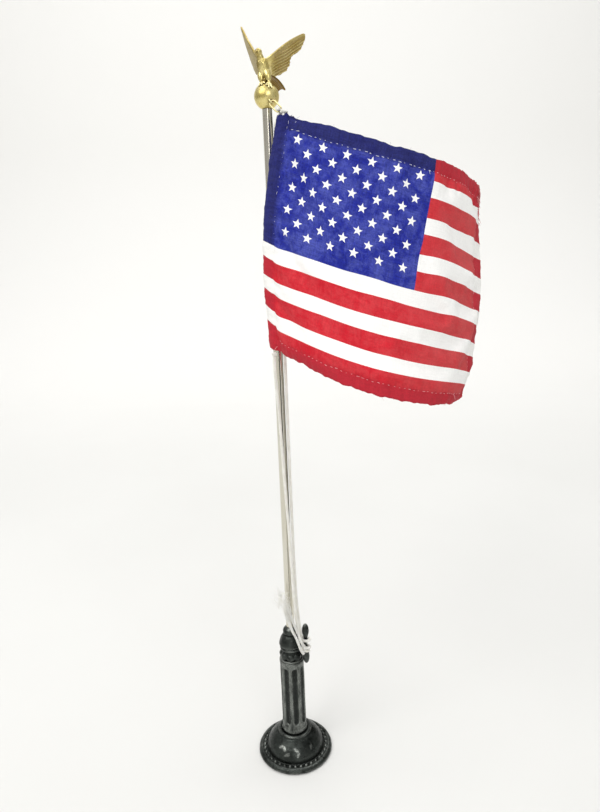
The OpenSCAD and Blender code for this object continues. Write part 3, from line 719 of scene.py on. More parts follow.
def wing_mesh(lead, trail, thick, camber):
    """A cast wing between a leading and a trailing edge, matched root to tip.
    Its feathers are overlapping ridges that lean outwards and deepen to the trailing edge."""
    rows, cols = 110, 190
    ridges, lean, scallops = 3.6, 2.3, 9
    out = np.linspace(0, 1, cols)

    def edge_line(points):
        path, _ = resample(curve(points, 12), 0.4)
        stations = np.linspace(0, 1, len(path))
        return path, np.stack([np.interp(out, stations, path[:, k]) for k in range(3)], -1)

    lead_path, lead_line = edge_line(lead)
    _, trail_line = edge_line(trail)
    span = unit(lead_path[-1] - lead_path[0])
    chord = unit(((trail_line - lead_line)[cols // 4: 3 * cols // 4]).mean(0))
    normal = unit(np.cross(span, chord))
    # back runs 0..1 from lead to trail, out 0..1 from root to tip
    back, out = np.meshgrid(np.linspace(0, 1, rows), out, indexing="ij")
    slant = out - lean * (back - 0.3)
    part = slant * ridges
    part = part - np.floor(part)
    depth = rise(back, 0.34, 0.30) ** 1.2
    saw = (0.55 - 0.95 * part) + 0.30 * bell(part, 0.5, 0.09)
    barb = 0.10 * np.sin(2 * pi * (back * 17 + 3.0 * np.abs(part - 0.5)))
    ridge = depth * (0.10 * saw + 0.05 * barb * depth)
    part = slant * (ridges * 1.5) + 0.4
    part = part - np.floor(part)
    covert = rise(back, 0.16, 0.12) * rise(back, 0.50, -0.10)
    row = 0.10 * covert * (0.6 - part)
    edge = rise(back, 0, 0.05) ** 0.5 * rise(back, 1, -0.03) ** 0.5
    tip = rise(out, 0, 0.03) ** 0.5 * rise(out, 1, -0.03) ** 0.5
    body = thick * ((1 - back) ** 0.8 * 0.9 + 0.26) * (1 - 0.45 * out)
    part = out * scallops
    part = part - np.floor(part)
    scallop = 0.55 * (0.5 - 0.5 * np.cos(2 * pi * part)) ** 0.6
    reach = back + (back ** 6) * (scallop - 0.45) * 0.05
    bow = camber * (np.sin(pi * back) * 0.55 * (1 - 0.4 * out) - 0.6 * out ** 2 + 0.6 * out)
    base = (lead_line[None] + (trail_line - lead_line)[None] * reach[..., None]
            + bow[..., None] * normal)
    soft = (edge * tip)[..., None]
    half = body[..., None] * soft * normal
    upper = base + half + (ridge + row)[..., None] * normal * soft
    lower = base - half - (ridge * 0.6)[..., None] * normal * soft
    verts = np.concatenate([upper.reshape(-1, 3), lower.reshape(-1, 3)])
    top, bottom, sides = slab_faces(rows, cols)
    faces = [face for pair in zip(top, bottom) for face in pair] + sides
    # wind it outwards whichever way the edges were given
    a, b, c = verts[list(top[(rows // 2) * (cols - 1) + cols // 2][:3])]
    if float(np.cross(b - a, c - a) @ normal) < 0:
        faces = [tuple(reversed(face)) for face in faces]
    return verts, faces


def leg(shape, s):
    """A leg on side s, -1 or +1, with four toes that grip the ball."""
    thigh = curve([(-0.6 + 1.1 * s, -0.9 - 0.6 * s, 346.6), (-0.5 + 1.5 * s, -1.7 - 0.6 * s, 344.8),
                   (-0.2 + 1.5 * s, -2.1 - 0.6 * s, 343.1)], 8)
    shape.tube(thigh, taper(thigh, [0, 0.5, 1], [1.75, 1.5, 0.95]), 20)
    foot = np.array([-0.15 + 1.5 * s, -2.35 - 0.6 * s, 342.3])
    shape.tube([thigh[-1], foot], (0.75, 0.62), 14)
    for dx, dy in ((-0.85, -1.0), (0.0, -1.35), (0.85, -1.0), (0.1, 0.9)):
        tip = np.array([foot[0] + dx * 1.35, foot[1] + dy * 1.35, 0])
        mid = np.array([foot[0] + dx * 0.7, foot[1] + dy * 0.7, 0])
        for point in (tip, mid):
            square = min(point[0] ** 2 + point[1] ** 2, 29.0)
            point[2] = BALL_Z + math.sqrt(max(BALL_RADIUS ** 2 - square, 0.5))
        toe = curve([foot, mid + (0, 0, 0.25), tip, tip + (dx * 0.12, dy * 0.12, -0.35)], 5)
        shape.tube(toe, taper(toe, [0, 0.45, 0.75, 1], [0.52, 0.5, 0.42, 0.12]), 10)


def tail(shape):
    """Nine feathers fanned down to the back, each with a quill."""
    for i in range(-4, 5):
        root = np.array([0.5 + 0.16 * i, 0.9 - 0.12 * i, 346.3])
        tip = np.array([6.3 + 0.44 * i, 7.9 - 0.5 * i, 341.6 - 0.05 * i * i])
        mid = 0.5 * (root + tip) + np.array([0.1 * i, -0.1 * i, 0.75])
        path = curve([root, mid, tip], 14)
        wide = taper(path, [0, 0.35, 0.8, 0.95, 1], [0.5, 0.75, 0.85, 0.6, 0.25])
        ahead = unit(tip - root)
        side = unit(np.cross(ahead, [0, 0, 1.0]))
        top = np.cross(side, ahead)
        shape.sweep(path, wide, side, top, 12, flat=0.34 + 0.12 * (i % 2))
        shape.tube(path + top * 0.28, (0.16, 0.09), 6)


def eagle_finish(mesh):
    """Raises feather crests on the +X wing and writes "shade": brown painted shade between the legs
    and over both wings, and under the tail a brown that is both antique finish and painted shade.
    """
    coords, normals = [np.zeros(len(mesh.vertices) * 3) for _ in range(2)]
    mesh.vertices.foreach_get("co", coords)
    mesh.vertices.foreach_get("normal", normals)
    coords, normals = coords.reshape(-1, 3) * 1000, normals.reshape(-1, 3)
    x, y, z = coords.T
    # painted shade under the tail and between the legs; under the tail it also stands for an antique
    # brown finish
    behind = rise(x + 0.6 * y, 1.6, 1.2) * rise(z, 347.6, -1.0)
    under = rise(-normals @ np.array([0.15, 0.6, 0.6]), 0.15, 0.35)
    between_legs = (rise(np.abs(z - 344.6), 1.8, -1.8)
                    * rise(np.hypot(x + 0.2, y + 1.4), 1.8, -1.8) * 0.6)
    # right_wing_point turned round, to rounded factors
    wing_x = x - 0.42
    wing_z = (z - 352.0 - 0.1938 * wing_x) / 0.7359
    off_plane = np.abs(y - right_wing_y(wing_x, wing_z))
    on_wing = rise(wing_x, 1.6, 1.0) * rise(off_plane, 2.4, -1.5) * rise(z, 342.5, 1.0)
    below_lead = np.interp(wing_x, [-0.3, 3.1, 7.2, 11.3, 14.4, 16.4, 17.2],
                           [-0.2, 2.0, 4.8, 7.1, 8.45, 9.05, 8.6]) - wing_z
    part = (wing_z - 0.33 * wing_x - 0.010 * wing_x ** 2) / 1.12 + 0.10 * np.sin(wing_x * 0.9)
    part = part - np.floor(part)
    start = 1.3 + 0.13 * np.clip(10 - wing_x, 0, 9)
    crest = bell(part, 0.5, 0.17) * rise(below_lead, start, 1.4) * on_wing
    rim = bell(below_lead, 0.45, 0.5) * on_wing * 0.5
    lift = (0.30 * crest - 0.10 * on_wing * rise(below_lead, 1.3, 1.4))[:, None] * normals
    mesh.vertices.foreach_set("co", ((coords + lift) / 1000).astype(np.float32).ravel())
    mesh.update()
    # painted shade over both wings, left off the +X wing's crests and leading rim, which stay light
    right = rise(x, 2.2, 2.0) * rise(z, 343.6, 1.0) * rise(y, -9.5, 1.5)
    left = rise(x, -1.4, -1.6) * rise(z, 345.0, 2.0)
    shade = np.clip(behind * under + between_legs + 0.54 * left
                    + 0.66 * right * (1 - 0.93 * np.maximum(crest, rim)), 0, 0.95)
    attribute = mesh.attributes.new("shade", "FLOAT", "POINT")
    attribute.data.foreach_set("value", shade.astype(np.float32))


def eagle():
    shape = Shape()

    def plume(polar, turn):
        return 1 + 0.035 * np.sin(9 * turn + 6 * polar) * np.sin(14 * polar)

    for centre, radii, axis, plumed in BODY:
        shape.blob(centre, radii, axis, swell=plume if plumed else None)
    shape.strand(BEAK, 8, (0.62, 0.13), 12)
    shape.strand(JAW, 6, (0.45, 0.16), 10)
    for s in (-1, 1):
        eye = np.array([-2.75, -3.85, 354.1]) + s * np.array([1.05, -0.55, 0])
        shape.blob(eye, (0.24, 0.24, 0.24), around=14, rings=10)
        leg(shape, s)
    shape.blob((0.0, -0.3, 343.6), (1.9, 1.9, 2.4))  # rump
    tail(shape)
    # one wing seen broad, raised and swept; the other seen edge on, running to the back
    shape.add(*wing_mesh([right_wing_point(*p) for p in RIGHT_LEAD],
                         [right_wing_point(*p) for p in RIGHT_TRAIL], thick=0.52, camber=0.4))
    shape.add(*wing_mesh(LEFT_LEAD, LEFT_TRAIL, thick=0.62, camber=0.3))
    obj = shape.make("eagle_cast", [GILT])
    remesh(obj, voxel=0.00011, factor=0.35, iterations=1)
    apply_modifiers(obj)
    obj.data.polygons.foreach_set("use_smooth", np.full(len(obj.data.polygons), True))
    obj.data.materials.clear()
    obj.data.materials.append(GILT)
    eagle_finish(obj.data)
    register(obj, "gilt", "stand", "eagle")


eagle()

# ------------------------------------------------------------ cords and ring
CLEAT = np.array([7.97165, -4.98124, 70.1])
RING_TOP, RING_LOW = np.array([1.96139, -5.23382, 334.303]), np.array([5.7, -7.15, 330.25])
RING_LONG = float(np.linalg.norm(RING_LOW - RING_TOP))
RING_DOWN = (RING_LOW - RING_TOP) / RING_LONG
RING_SIDE = unit(np.cross([0, 1, 0], RING_DOWN))
RING_BACK = np.cross(RING_DOWN, RING_SIDE)
BIGHT_RADIUS = 1.45
UPPER_KNOT = np.array([8.00768, -7.61334, 329.517])
SLEEVE_FOOT = np.array([-1.53354, -9.20014, 227.727])


def bight(degrees):
    """A point of the cord's loop over the ring, from back (0) over to front (180)."""
    angle = math.radians(degrees)
    return (RING_LOW - BIGHT_RADIUS * math.sin(angle) * RING_DOWN
            + BIGHT_RADIUS * math.cos(angle) * RING_BACK)


def ring():
    shape = Shape()
    path = []
    end = 1.2
    for k in range(140):
        angle = 2 * pi * k / 140
        sin = math.sin(angle)
        wide = 1.30 - 0.18 * (sin > 0) * sin
        down = end + (0 if sin < 0 else RING_LONG - 2 * end) + end * sin
        path.append(RING_TOP + RING_DOWN * down + RING_SIDE * wide * math.cos(angle))
    shape.tube(path, 0.34, 18, closed=True)
    shape.make("oval_ring", [GILT], "gilt", "ring", "jump_ring")


ring()


def return_cord(rng):
    """From the cleat up beside the pole and over the ring."""
    shape = Shape()
    below_ring = bight(0) + (-1.6, 2.0, -2.2)
    path = curve([CLEAT + (-2.3, -1.2, 6.0), (4.9, -4.8, 83), (3.9, -3.1, 96), (3.35, -1.7, 130),
                  (3.2, -1.1, 200), (3.2, -1.1, 290), (3.2, -1.2, 315), (3.2, -2.1, 324),
                  below_ring] + [bight(a) for a in range(0, 181, 30)], 6)
    shape.cord(path, phase=0.4)
    shape.fuzz(path, 130, rng)
    obj = shape.make("return_cord", [CORD], "cord", None, "return_line")
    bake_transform(obj)


def cleat_turns(rng):
    """Turns round the cleat: some high, some low, and a crossing between them."""
    shape = Shape()
    # degrees, z
    high = [(a, 73.8 - 1.62 * a / 360) for a in range(0, 421, 20)]
    cross = [(420 + 20 * k, 71.91 - 3.5 * (0.5 - 0.5 * math.cos(math.radians(22.5 * k))))
             for k in range(1, 9)]
    low = [(a, 68.3 - 1.62 * (a - 600) / 360) for a in range(600, 961, 20)]
    turns = [CLEAT * (1, 1, 0) + (2.0 * math.cos(math.radians(a + 88)),
                                  2.0 * math.sin(math.radians(a + 88)), z)
             for a, z in high + cross + low]
    shape.cord(curve(turns, 3), phase=1.0, pitch=3.1)
    shape.fuzz(turns, 60, rng)
    shape.make("cleat_turns", [CORD], "cord", "stand", "cleat_hitch")


# path, number of yarns, radius of the bundle
TAILS = (
    ([(6.6, -7.4, 65.6), (5.6, -8.4, 68), (4.6, -9.4, 71.5), (3.3, -9.6, 76.1), (1, -9.2, 81.6),
      (-1.1, -8.4, 88.5), (-2.5, -7.6, 95.4), (-3.8, -7, 100.6), (-5.8, -6.8, 103.2)], 30, 0.72),
    ([(7.6, -7.2, 68.4), (6.6, -7.9, 70.5), (5.8, -9.1, 73.6), (4.6, -9.3, 77.5), (2.6, -8.7, 83),
      (0.6, -7.9, 89.8), (-0.9, -7.2, 95.5), (-2, -6.9, 100.5), (-2.9, -6.9, 104)], 26, 0.68),
)


def frayed_tails(rng):
    """Two cord ends that open into yarns as they rise."""
    shape = Shape()
    for points, count, width in TAILS:
        path, run = resample(curve(points, 8), 0.6)
        _, side, up = frames_of(path)
        part = run / run[-1]
        for k in range(count):
            start, rho = rng.uniform(0, 2 * pi), math.sqrt(rng.uniform(0.02, 1))
            end = rng.uniform(0.62, 1.0) if k % 3 else rng.uniform(0.93, 1.0)
            m = max(6, int(len(path) * end))
            opening = rise(part[:m], 0.34, 0.66)
            spread = (width * rho * (1 - 0.25 * np.sin(pi * part[:m]))
                      + opening ** 1.6 * rng.uniform(0.2, 2.6))
            angle = (start + 2 * pi * run[:m] / 9.0 * (1 - opening)
                     + opening * rng.uniform(-0.8, 0.8))
            drift = np.array([rng.normal(0, 1.0), rng.normal(0, 0.6), rng.normal(0.1, 1.0)])
            ray = np.cos(angle)[:, None] * side[:m] + np.sin(angle)[:, None] * up[:m]
            yarn = path[:m] + spread[:, None] * ray + (opening ** 2)[:, None] * drift
            shape.tube(yarn, taper(yarn, [0, 0.5, 1], [0.17, 0.13, 0.05]), 5)
    # wisps that stand off the open ends, up towards -X
    for _ in range(34):
        root = np.array([-3.5 - 2.0 * rng.uniform(), -5.2, 97.5 + rng.uniform(-7, 4)])
        mid = root + (rng.uniform(-3.0, 0.4), rng.uniform(-0.8, 0.8), rng.uniform(1.0, 4.0))
        tip = mid + (rng.uniform(-3.6, 0.2), rng.uniform(-0.8, 0.8), rng.uniform(-0.6, 3.2))
        tip[2] = min(tip[2], 107.0)
        shape.strand([root, mid, tip], 5, (0.07, 0.025), 3)
    shape.make("frayed_tails", [FRAY], "cord", "stand", "halyard_tails")


cord_rng = np.random.default_rng(31)
return_cord(cord_rng)
cleat_turns(cord_rng)
frayed_tails(cord_rng)


def knot(name, replaced, centre, size, radius, fibres):
    """An overhand knot: a trefoil tipped by 0.4 radians, filled by a blob."""
    shape = Shape()
    t = np.linspace(0, 2 * pi, 73)[:-1]
    x, y, z = (size * c for c in (np.sin(t) + 2 * np.sin(2 * t), np.cos(t) - 2 * np.cos(2 * t),
                                  -1.35 * np.sin(3 * t)))
    cos, sin = math.cos(0.4), math.sin(0.4)
    path = centre + np.stack([x, z * cos - y * sin, y * cos + z * sin], 1)
    twist = [2 * pi * (np.arange(len(path)) / len(path) * 4 + k / 3) for k in range(3)]
    shape.lay(path, twist, radius * 0.62, 0.17, 8, closed=True)
    shape.blob(centre, (size * 2.0, size * 2.0, size * 2.3), around=20, rings=14)
    shape.fuzz(curve([centre + (0, 0, -1), centre, centre + (0, 0, 1.0)], 6), fibres,
               np.random.default_rng(3), reach=0.6, off=0.9)
    shape.make(name, [CORD], "cord", "hoist_carrier", replaced)


knot("upper_overhand", "upper_knot", UPPER_KNOT, size=0.23, radius=0.33, fibres=6)
knot("lower_overhand", "lower_knot", SLEEVE_FOOT + (0, 0, -1.14), size=0.31, radius=0.42,
     fibres=18)


def hoist_cord_upper():
    """Above the flag: one dense piece."""
    shape = Shape()
    start = bight(180) + 0.85 * RING_DOWN
    end = UPPER_KNOT + 0.6 * unit(bight(180) - UPPER_KNOT)
    path = np.linspace(start, end, 241)
    part = np.linspace(0, 1, len(path))
    shape.lay(path, [2 * pi * (part * 0.9 + k / 3) for k in range(3)], 0.35, 0.31, 8)
    obj = shape.make("hoist_cord_upper", [CORD], "cord", None, "hoist_line_upper")
    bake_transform(obj)


def hoist_cord_lower():
    """From the cleat up to the lower knot."""
    shape = Shape()
    top = SLEEVE_FOOT + (0, 0, -2.35)
    path = curve([CLEAT + (-3.1, -2.7, 2.5), CLEAT + (-3.3, -2.2, 6.5), (3.5, -6.4, 86),
                  (2.55, -5.1, 101), (1.7, -4.3, 130), (0.4, -4.3, 165), (-0.6, -4.7, 195),
                  top + (0, 0.1, -8), top], 8)
    shape.cord(path, phase=2.0)
    shape.fuzz(path, 80, np.random.default_rng(14))
    obj = shape.make("hoist_cord_lower", [CORD], "cord", "stand", "hoist_line_lower")
    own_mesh(obj)


hoist_cord_upper()
hoist_cord_lower()

# --------------------------------------------------------------------- flag
# The cloth's own places are along (from the pole edge out to the fly) and down (from the top).
LONG, TALL, SEAM, CLOTH_THICK = 120.0, 101.6, 5.5, 0.2
STRIPES = np.array([0, 9.5, 16.3, 24.6, 31.3, 39.4, 46.3, 54.3, 61.1, 69.4, 76.0, 84.1, 90.6,
                    TALL])
CANTON_LONG, CANTON_TALL = 73.3, STRIPES[7]
STAR_RADIUS, STAR_WAIST = 2.2, 2.2 * 0.415
# the drape grid, every 1 mm and 5 mm past the cloth's edges
MARGIN = 5
DRAPE_ALONG, DRAPE_DOWN = np.arange(-5.0, 125.01, 1.0), np.arange(-5.0, 107.01, 1.0)


def heading(u, v):
    """The way the cloth runs, from its turn in plan and its dip; u, v are 0..1 over it."""
    turn = (-37 - 40.5 * u + 355 * u ** 2 - 236.4 * u ** 3 - (25 + 14.9 * u) * (v - 0.5)
            + 58.1 * (u * v) ** 3)
    dip = (9.3 + 60.6 * u - 127 * u ** 2 + 89.2 * u ** 3 - 12.9 * (v - 0.5)
           + 49.3 * u * (v - 0.5) + 2.7 * (v - 0.5) ** 2 - 38.5 * u ** 2 * v ** 2)
    a, b = np.radians(turn), np.radians(dip)
    return np.stack([np.cos(a) * np.cos(b), np.sin(a) * np.cos(b), -np.sin(b)], -1)


def drape():
    """The CAD cloth's drape on the 1 mm grid [along, down]."""
    v = DRAPE_DOWN / TALL
    out = np.zeros((len(DRAPE_ALONG), len(v), 3))
    out[MARGIN] = np.stack([5.26 - 24.9 * v + 16.2 * v ** 2, np.full_like(v, -6.9),
                            329.6 - 101.6 * v], -1)

    def step(middle):
        return heading(np.full_like(v, middle / LONG), v)

    for i in range(MARGIN, len(out) - 1):
        out[i + 1] = out[i] + step(DRAPE_ALONG[i] + 0.5)
    for i in range(MARGIN, 0, -1):
        out[i - 1] = out[i] - step(DRAPE_ALONG[i] - 0.5)
    return out


def bicubic(grid, x, y):
    """Samples grid[i, j] at fractional x, y."""
    x, y = np.clip(x, 0, grid.shape[0] - 1.0001), np.clip(y, 0, grid.shape[1] - 1.0001)
    i, j = np.floor(x).astype(int), np.floor(y).astype(int)

    def weights(f):
        return [0.5 * (-f ** 3 + 2 * f ** 2 - f), 0.5 * (3 * f ** 3 - 5 * f ** 2 + 2),
                0.5 * (-3 * f ** 3 + 4 * f ** 2 + f), 0.5 * (f ** 3 - f ** 2)]

    weight_x, weight_y = weights(x - i), weights(y - j)
    tail_shape = (1,) * (grid.ndim - 2)
    out = 0
    for a in range(4):
        row = np.clip(i + a - 1, 0, grid.shape[0] - 1)
        for b in range(4):
            col = np.clip(j + b - 1, 0, grid.shape[1] - 1)
            weight = (weight_x[a] * weight_y[b]).reshape((-1,) + tail_shape)
            out = out + grid[row, col] * weight
    return out


DRAPE = drape()


def on_drape(along, down):
    return bicubic(DRAPE, along + MARGIN, down + MARGIN)


def back_of(along, down):
    """The drape's normal, towards the back."""
    e = 0.4
    return unit(np.cross(on_drape(along + e, down) - on_drape(along - e, down),
                         on_drape(along, down + e) - on_drape(along, down - e)))


# size, frequency, factor on the seed, shift
WAVES = ((0.45, 1.0, 1.0, 0), (0.3, 0.61, 2.1, 1), (0.25, 1.73, 3.3, 0), (0.2, 0.27, 1.7, 0))


def wave(x, seed):
    """A smooth irregular wave of about +-1, period about 1 in x."""
    return sum(size * np.sin(2 * pi * x * often + factor * seed + shift)
               for size, often, factor, shift in WAVES)


SIM_COLS, SIM_ROWS = 49, 42


def simulated():
    """Wrinkles from a cloth simulation: the drape, 20 times life size so that the solver is
    steady, grows a little in its field while its hems draw in, held near its place.
    Returns the move along the back normal, in mm, on a grid of about 2.5 mm."""
    along, down = np.meshgrid(np.linspace(0, LONG, SIM_COLS), np.linspace(0, TALL, SIM_ROWS),
                              indexing="ij")
    along, down = along.ravel(), down.ravel()
    normal = back_of(along, down)
    ripple = (0.18 * wave(along / 17 + down / 29, 0.7) + 0.18 * wave(down / 13 - along / 31, 2.2)
              + 0.12 * wave(along / 7, 4.0) * wave(down / 8, 1.0))
    start = on_drape(along, down) + ripple[:, None] * normal
    scale = 0.02
    obj = new_object("sim", (start * scale).tolist(), grid_faces(SIM_COLS, SIM_ROWS),
                     smooth=False)
    pin, hem = obj.vertex_groups.new(name="pin"), obj.vertex_groups.new(name="hem")
    for i in range(len(start)):
        near = min(LONG - along[i], down[i], TALL - down[i])
        hold = 1.0 if along[i] < 6.5 else (0.30 if near < 1 else 0.10)
        pin.add([i], hold, "REPLACE")
        hem.add([i], float(np.clip(1 - (min(near, along[i]) - 4) / 3, 0, 1)), "REPLACE")
    cloth = obj.modifiers.new("Cloth", "CLOTH").settings
    cloth.quality, cloth.mass, cloth.air_damping = 8, 0.3, 3.0
    cloth.tension_stiffness = cloth.compression_stiffness = 25
    cloth.shear_stiffness, cloth.bending_stiffness = 8, 1.4
    cloth.vertex_group_mass, cloth.pin_stiffness = "pin", 0.6
    cloth.vertex_group_shrink, cloth.shrink_min, cloth.shrink_max = "hem", -0.035, 0.012
    cloth.effector_weights.gravity = 0.35
    scene = bpy.context.scene
    for step in range(1, 26):
        scene.frame_set(step)
    mesh = obj.evaluated_get(bpy.context.evaluated_depsgraph_get()).data
    end = np.zeros(len(mesh.vertices) * 3)
    mesh.vertices.foreach_get("co", end)
    end = end.reshape(-1, 3) / scale
    scene.frame_set(1)
    bpy.data.objects.remove(obj)
    move = ((end - on_drape(along, down)) * normal).sum(1).reshape(SIM_COLS, SIM_ROWS)
    # take out most of the broad change, which belongs to the drape
    soft = move.copy()
    for _ in range(34):
        pad = np.pad(soft, 1, mode="edge")
        soft = (pad[2:, 1:-1] + pad[:-2, 1:-1] + pad[1:-1, 2:] + pad[1:-1, :-2] + 4 * soft) / 8
    move = move - 0.8 * soft
    limit = 1.3
    return limit * np.tanh(move / limit)


SIM = simulated()


def sim_at(along, down):
    return bicubic(SIM, np.clip(along, 0, LONG) / LONG * (SIM_COLS - 1),
                   np.clip(down, 0, TALL) / TALL * (SIM_ROWS - 1))


# height, place along, width: tufts and dips at the top of the sleeve
TUFTS = ((0.5, 1.8, 0.8), (1.3, 4.4, 0.8), (0.35, 7.0, 0.9), (-0.75, 6.0, 8.0), (-1.1, 0, 3.4))
# down, then how far the cloth is drawn up where it gathers into the sleeve
GATHER = ([28, 54, 61, 69, 76, 84, 90.6, 98, TALL], [0, 2.1, 2.8, 3.0, 3.4, 4.0, 3.8, 2.0, 0.9])
# down, then how far the sleeve's edge shifts along
SLEEVE_SHIFT = ([0, 12, 36, 52, 70, 85, TALL], [-0.7, -0.9, -1.1, -1.5, -1.2, -0.4, 0.4])


def shifted(along, down):
    """The cloth's own place with its uneven edges: tufts, gathers and wavy hems."""
    top, bottom = rise(down, 5.0, -5.0), rise(TALL - down, 6.0, -6.0)
    fly, hoist = rise(LONG - along, 5.0, -5.0), rise(along, 4.0, -4.0)
    tuft = sum(height * bell(along, centre, width) for height, centre, width in TUFTS)
    ragged = rise(along, 108, 10)
    new_down = down - top * (tuft + 0.22 * wave(along / 6.0, 1.0) + 0.35 * wave(along / 19.0, 0.3)
                             + ragged * 0.8 * wave(along / 2.2, 2.0))
    new_down = new_down + bottom * (0.30 * wave(along / 5.2, 2.6) + 0.30 * wave(along / 15.0, 1.9)
                                    - 0.8 * bell(along, 0, 14.0))
    new_down = new_down - bell(along, 0, 5.5) * np.interp(down, *GATHER)
    new_along = along + fly * (0.28 * wave(down / 5.0, 3.1) + 0.25 * wave(down / 14.0, 0.9)
                               + rise(down, 16, -16) * 0.9 * wave(down / 3.1, 0.6))
    new_along = new_along - hoist * (0.22 * wave(down / 6.5, 1.4) + 0.25 * wave(down / 21.0, 2.9))
    return new_along + bell(along, 0, 8.0) * np.interp(down, *SLEEVE_SHIFT), new_down


def relief(along, down):
    """Height of the front face over the drape: hems, sleeve, puckers and wrinkles."""
    high = np.zeros_like(along)
    # distance in from the edge, place along it, height of the roll, seed
    for inward, x, roll, seed in ((down, along, 0.32, 0.5), (TALL - down, along, 0.34, 1.5),
                                  (LONG - along, down, 0.32, 2.5)):
        part = np.clip(inward / SEAM, 0, 1)
        inside = inward < SEAM
        high += np.where(inside, roll * np.sin(pi * part) ** 0.8
                         * (1 + 0.35 * wave(x / 7.0, seed)), 0)
        high -= 0.16 * bell(inward, SEAM, 0.5)
        high -= (0.14 * bell(inward, SEAM, 1.0) * (0.5 + 0.5 * np.cos(2 * pi * x / 2.55))
                 * (0.7 + 0.5 * wave(x / 9, seed + 1)))
        high += 0.20 * wave(x / 5.5, seed + 2) * np.where(
            inside, 0.6 + 0.4 * (1 - part), np.exp(-(inward - SEAM) / 3.5))
        high += (0.10 * wave(x / 2.3 + inward / 6, seed + 4)
                 * np.exp(-np.abs(inward - SEAM) / 2.5))
    sleeve = SEAM + 0.1
    part = np.clip(along / sleeve, 0, 1)
    high += np.where(along < sleeve,
                     1.02 * np.sin(pi * part) ** 0.7 * (1 + 0.12 * wave(down / 6, 0.8))
                     + 0.16 * wave(down / 2.6 + along / 5, 1.1), 0)
    high -= 0.2 * bell(along, SEAM, 0.5)
    high += 0.16 * wave(down / 4.1, 3.0) * np.exp(-np.abs(along - SEAM - 0.6) / 2.6)
    # bunched corners: top at the sleeve, then top and bottom at the fly
    high += bell(along, 5, 5) * bell(down, 0, 5) * (
        0.45 * wave(along / 1.9, 0.2) + 0.3 * wave(down / 2.4, 1.9))
    high += bell(along, LONG, 7) * bell(down, 5, 8) * (
        0.6 * wave(along / 3.4 + down / 9, 0.9) + 0.3 * wave(down / 2.6, 0.1))
    high += (bell(along, LONG, 6) * bell(down, TALL, 6) * 0.35
             * wave(along / 3.0 + down / 5, 2.2))
    return high - sim_at(along, down)


def place(along, down, lift=0.0, high=None):
    """Points of the cloth; lift is towards the front, over high or the cloth's own relief."""
    along, down = np.asarray(along, float), np.asarray(down, float)
    new_along, new_down = shifted(along, down)
    if high is None:
        high = relief(along, down)
    normal = back_of(np.clip(new_along, -4, 124), np.clip(new_down, -4, 106))
    return on_drape(new_along, new_down) - (high + lift)[:, None] * normal


def spot(along, down, lift=0.0):
    return place(np.array([along]), np.array([down]), lift)[0]


def zone(along, down):
    """0 red, 1 blue, 2 white."""
    band = np.searchsorted(STRIPES, np.clip(down, 0.01, TALL - 0.01)) - 1
    return np.where((along < CANTON_LONG) & (down < CANTON_TALL), 1, np.where(band % 2, 2, 0))


def cloth_object(name, along, down, points, faces, kinds, *replaced):
    """A sheet of cloth with its UV, its "hem" weight and its painted sheen; the front sheet names
    what it replaces.
    """
    obj = new_object(name, (points * MM).tolist(), faces, (RED, BLUE, WHITE), kinds)
    mesh = obj.data
    uv = mesh.uv_layers.new(name="UVMap")
    loops = np.zeros(len(mesh.loops), np.int32)
    mesh.loops.foreach_get("vertex_index", loops)
    uv.data.foreach_set("uv", np.stack([along[loops], down[loops]], 1).ravel() * 0.01)
    # hem weight for the darker hem colour, both double cloth and painted shade: on the front over
    # the hems, sleeve and a band along the seam lines, on the back folds nearly all over
    if replaced:
        near = np.minimum.reduce([along, down, LONG - along, TALL - down])
        hem = np.maximum(rise(near, SEAM + 0.25, -0.5) * 0.85,
                         0.55 * np.exp(-np.abs(near - SEAM) / 0.8))
    else:
        hem = np.full(len(along), 0.8)
    # painted sheen: grows towards the fly and away from the top edge
    fade = (rise(along, 58, 46) * np.clip((down - 4) / 10, 0.1, 1)
            * (0.75 + 0.25 * rise(along, 108, 8)))
    fade = np.maximum(fade, 0.9 * rise(along, 111, 7))
    for key, values in (("hem", hem), ("fade", fade)):
        attribute = mesh.attributes.new(key, "FLOAT", "POINT")
        attribute.data.foreach_set("value", values.astype(np.float32))
    mesh.update()
    ply = obj.modifiers.new("ply", "SOLIDIFY")
    ply.thickness, ply.offset, ply.use_even_offset = CLOTH_THICK * MM, -1.0, False
    apply_modifiers(obj)
    register(obj, "cloth_red", "flag", *replaced)


# grid lines of about 0.6 mm by 1.7 and less that fall on the canton's edge and every stripe
GRID_ALONG = np.concatenate([np.linspace(0, CANTON_LONG, 123),
                             np.linspace(CANTON_LONG, LONG, 79)[1:]])
GRID_DOWN = np.concatenate([np.linspace(a, b, int(round((b - a) / 0.6)) + 1)[:-1]
                            for a, b in zip(STRIPES[:-1], STRIPES[1:])] + [[TALL]])


def star_corners(centre):
    corners = []
    for k in range(10):
        r = STAR_WAIST if k % 2 else STAR_RADIUS
        angle = pi / 5 * k
        corners.append((centre[0] + r * math.sin(angle), centre[1] - r * math.cos(angle)))
    return np.array(corners)


def sides_of(corners):
    return zip(corners, np.roll(corners, -1, 0))


def outline_distance(points, corners):
    dist = np.full(len(points), 9.0)
    for a, b in sides_of(corners):
        side = b - a
        part = np.clip(((points - a) @ side) / (side @ side), 0, 1)
        dist = np.minimum(dist, np.linalg.norm(points - (a + part[:, None] * side), axis=1))
    return dist


def within(points, corners):
    inside = np.zeros(len(points), bool)
    for a, b in sides_of(corners):
        hit = (a[1] > points[:, 1]) != (b[1] > points[:, 1])
        x = (b[0] - a[0]) * (points[:, 1] - a[1]) / (b[1] - a[1] + 1e-12) + a[0]
        inside ^= hit & (points[:, 0] < x)
    return inside


def close_to(points, centre, dist):
    return np.where((np.abs(points[:, 0] - centre[0]) < dist)
                    & (np.abs(points[:, 1] - centre[1]) < dist))[0]


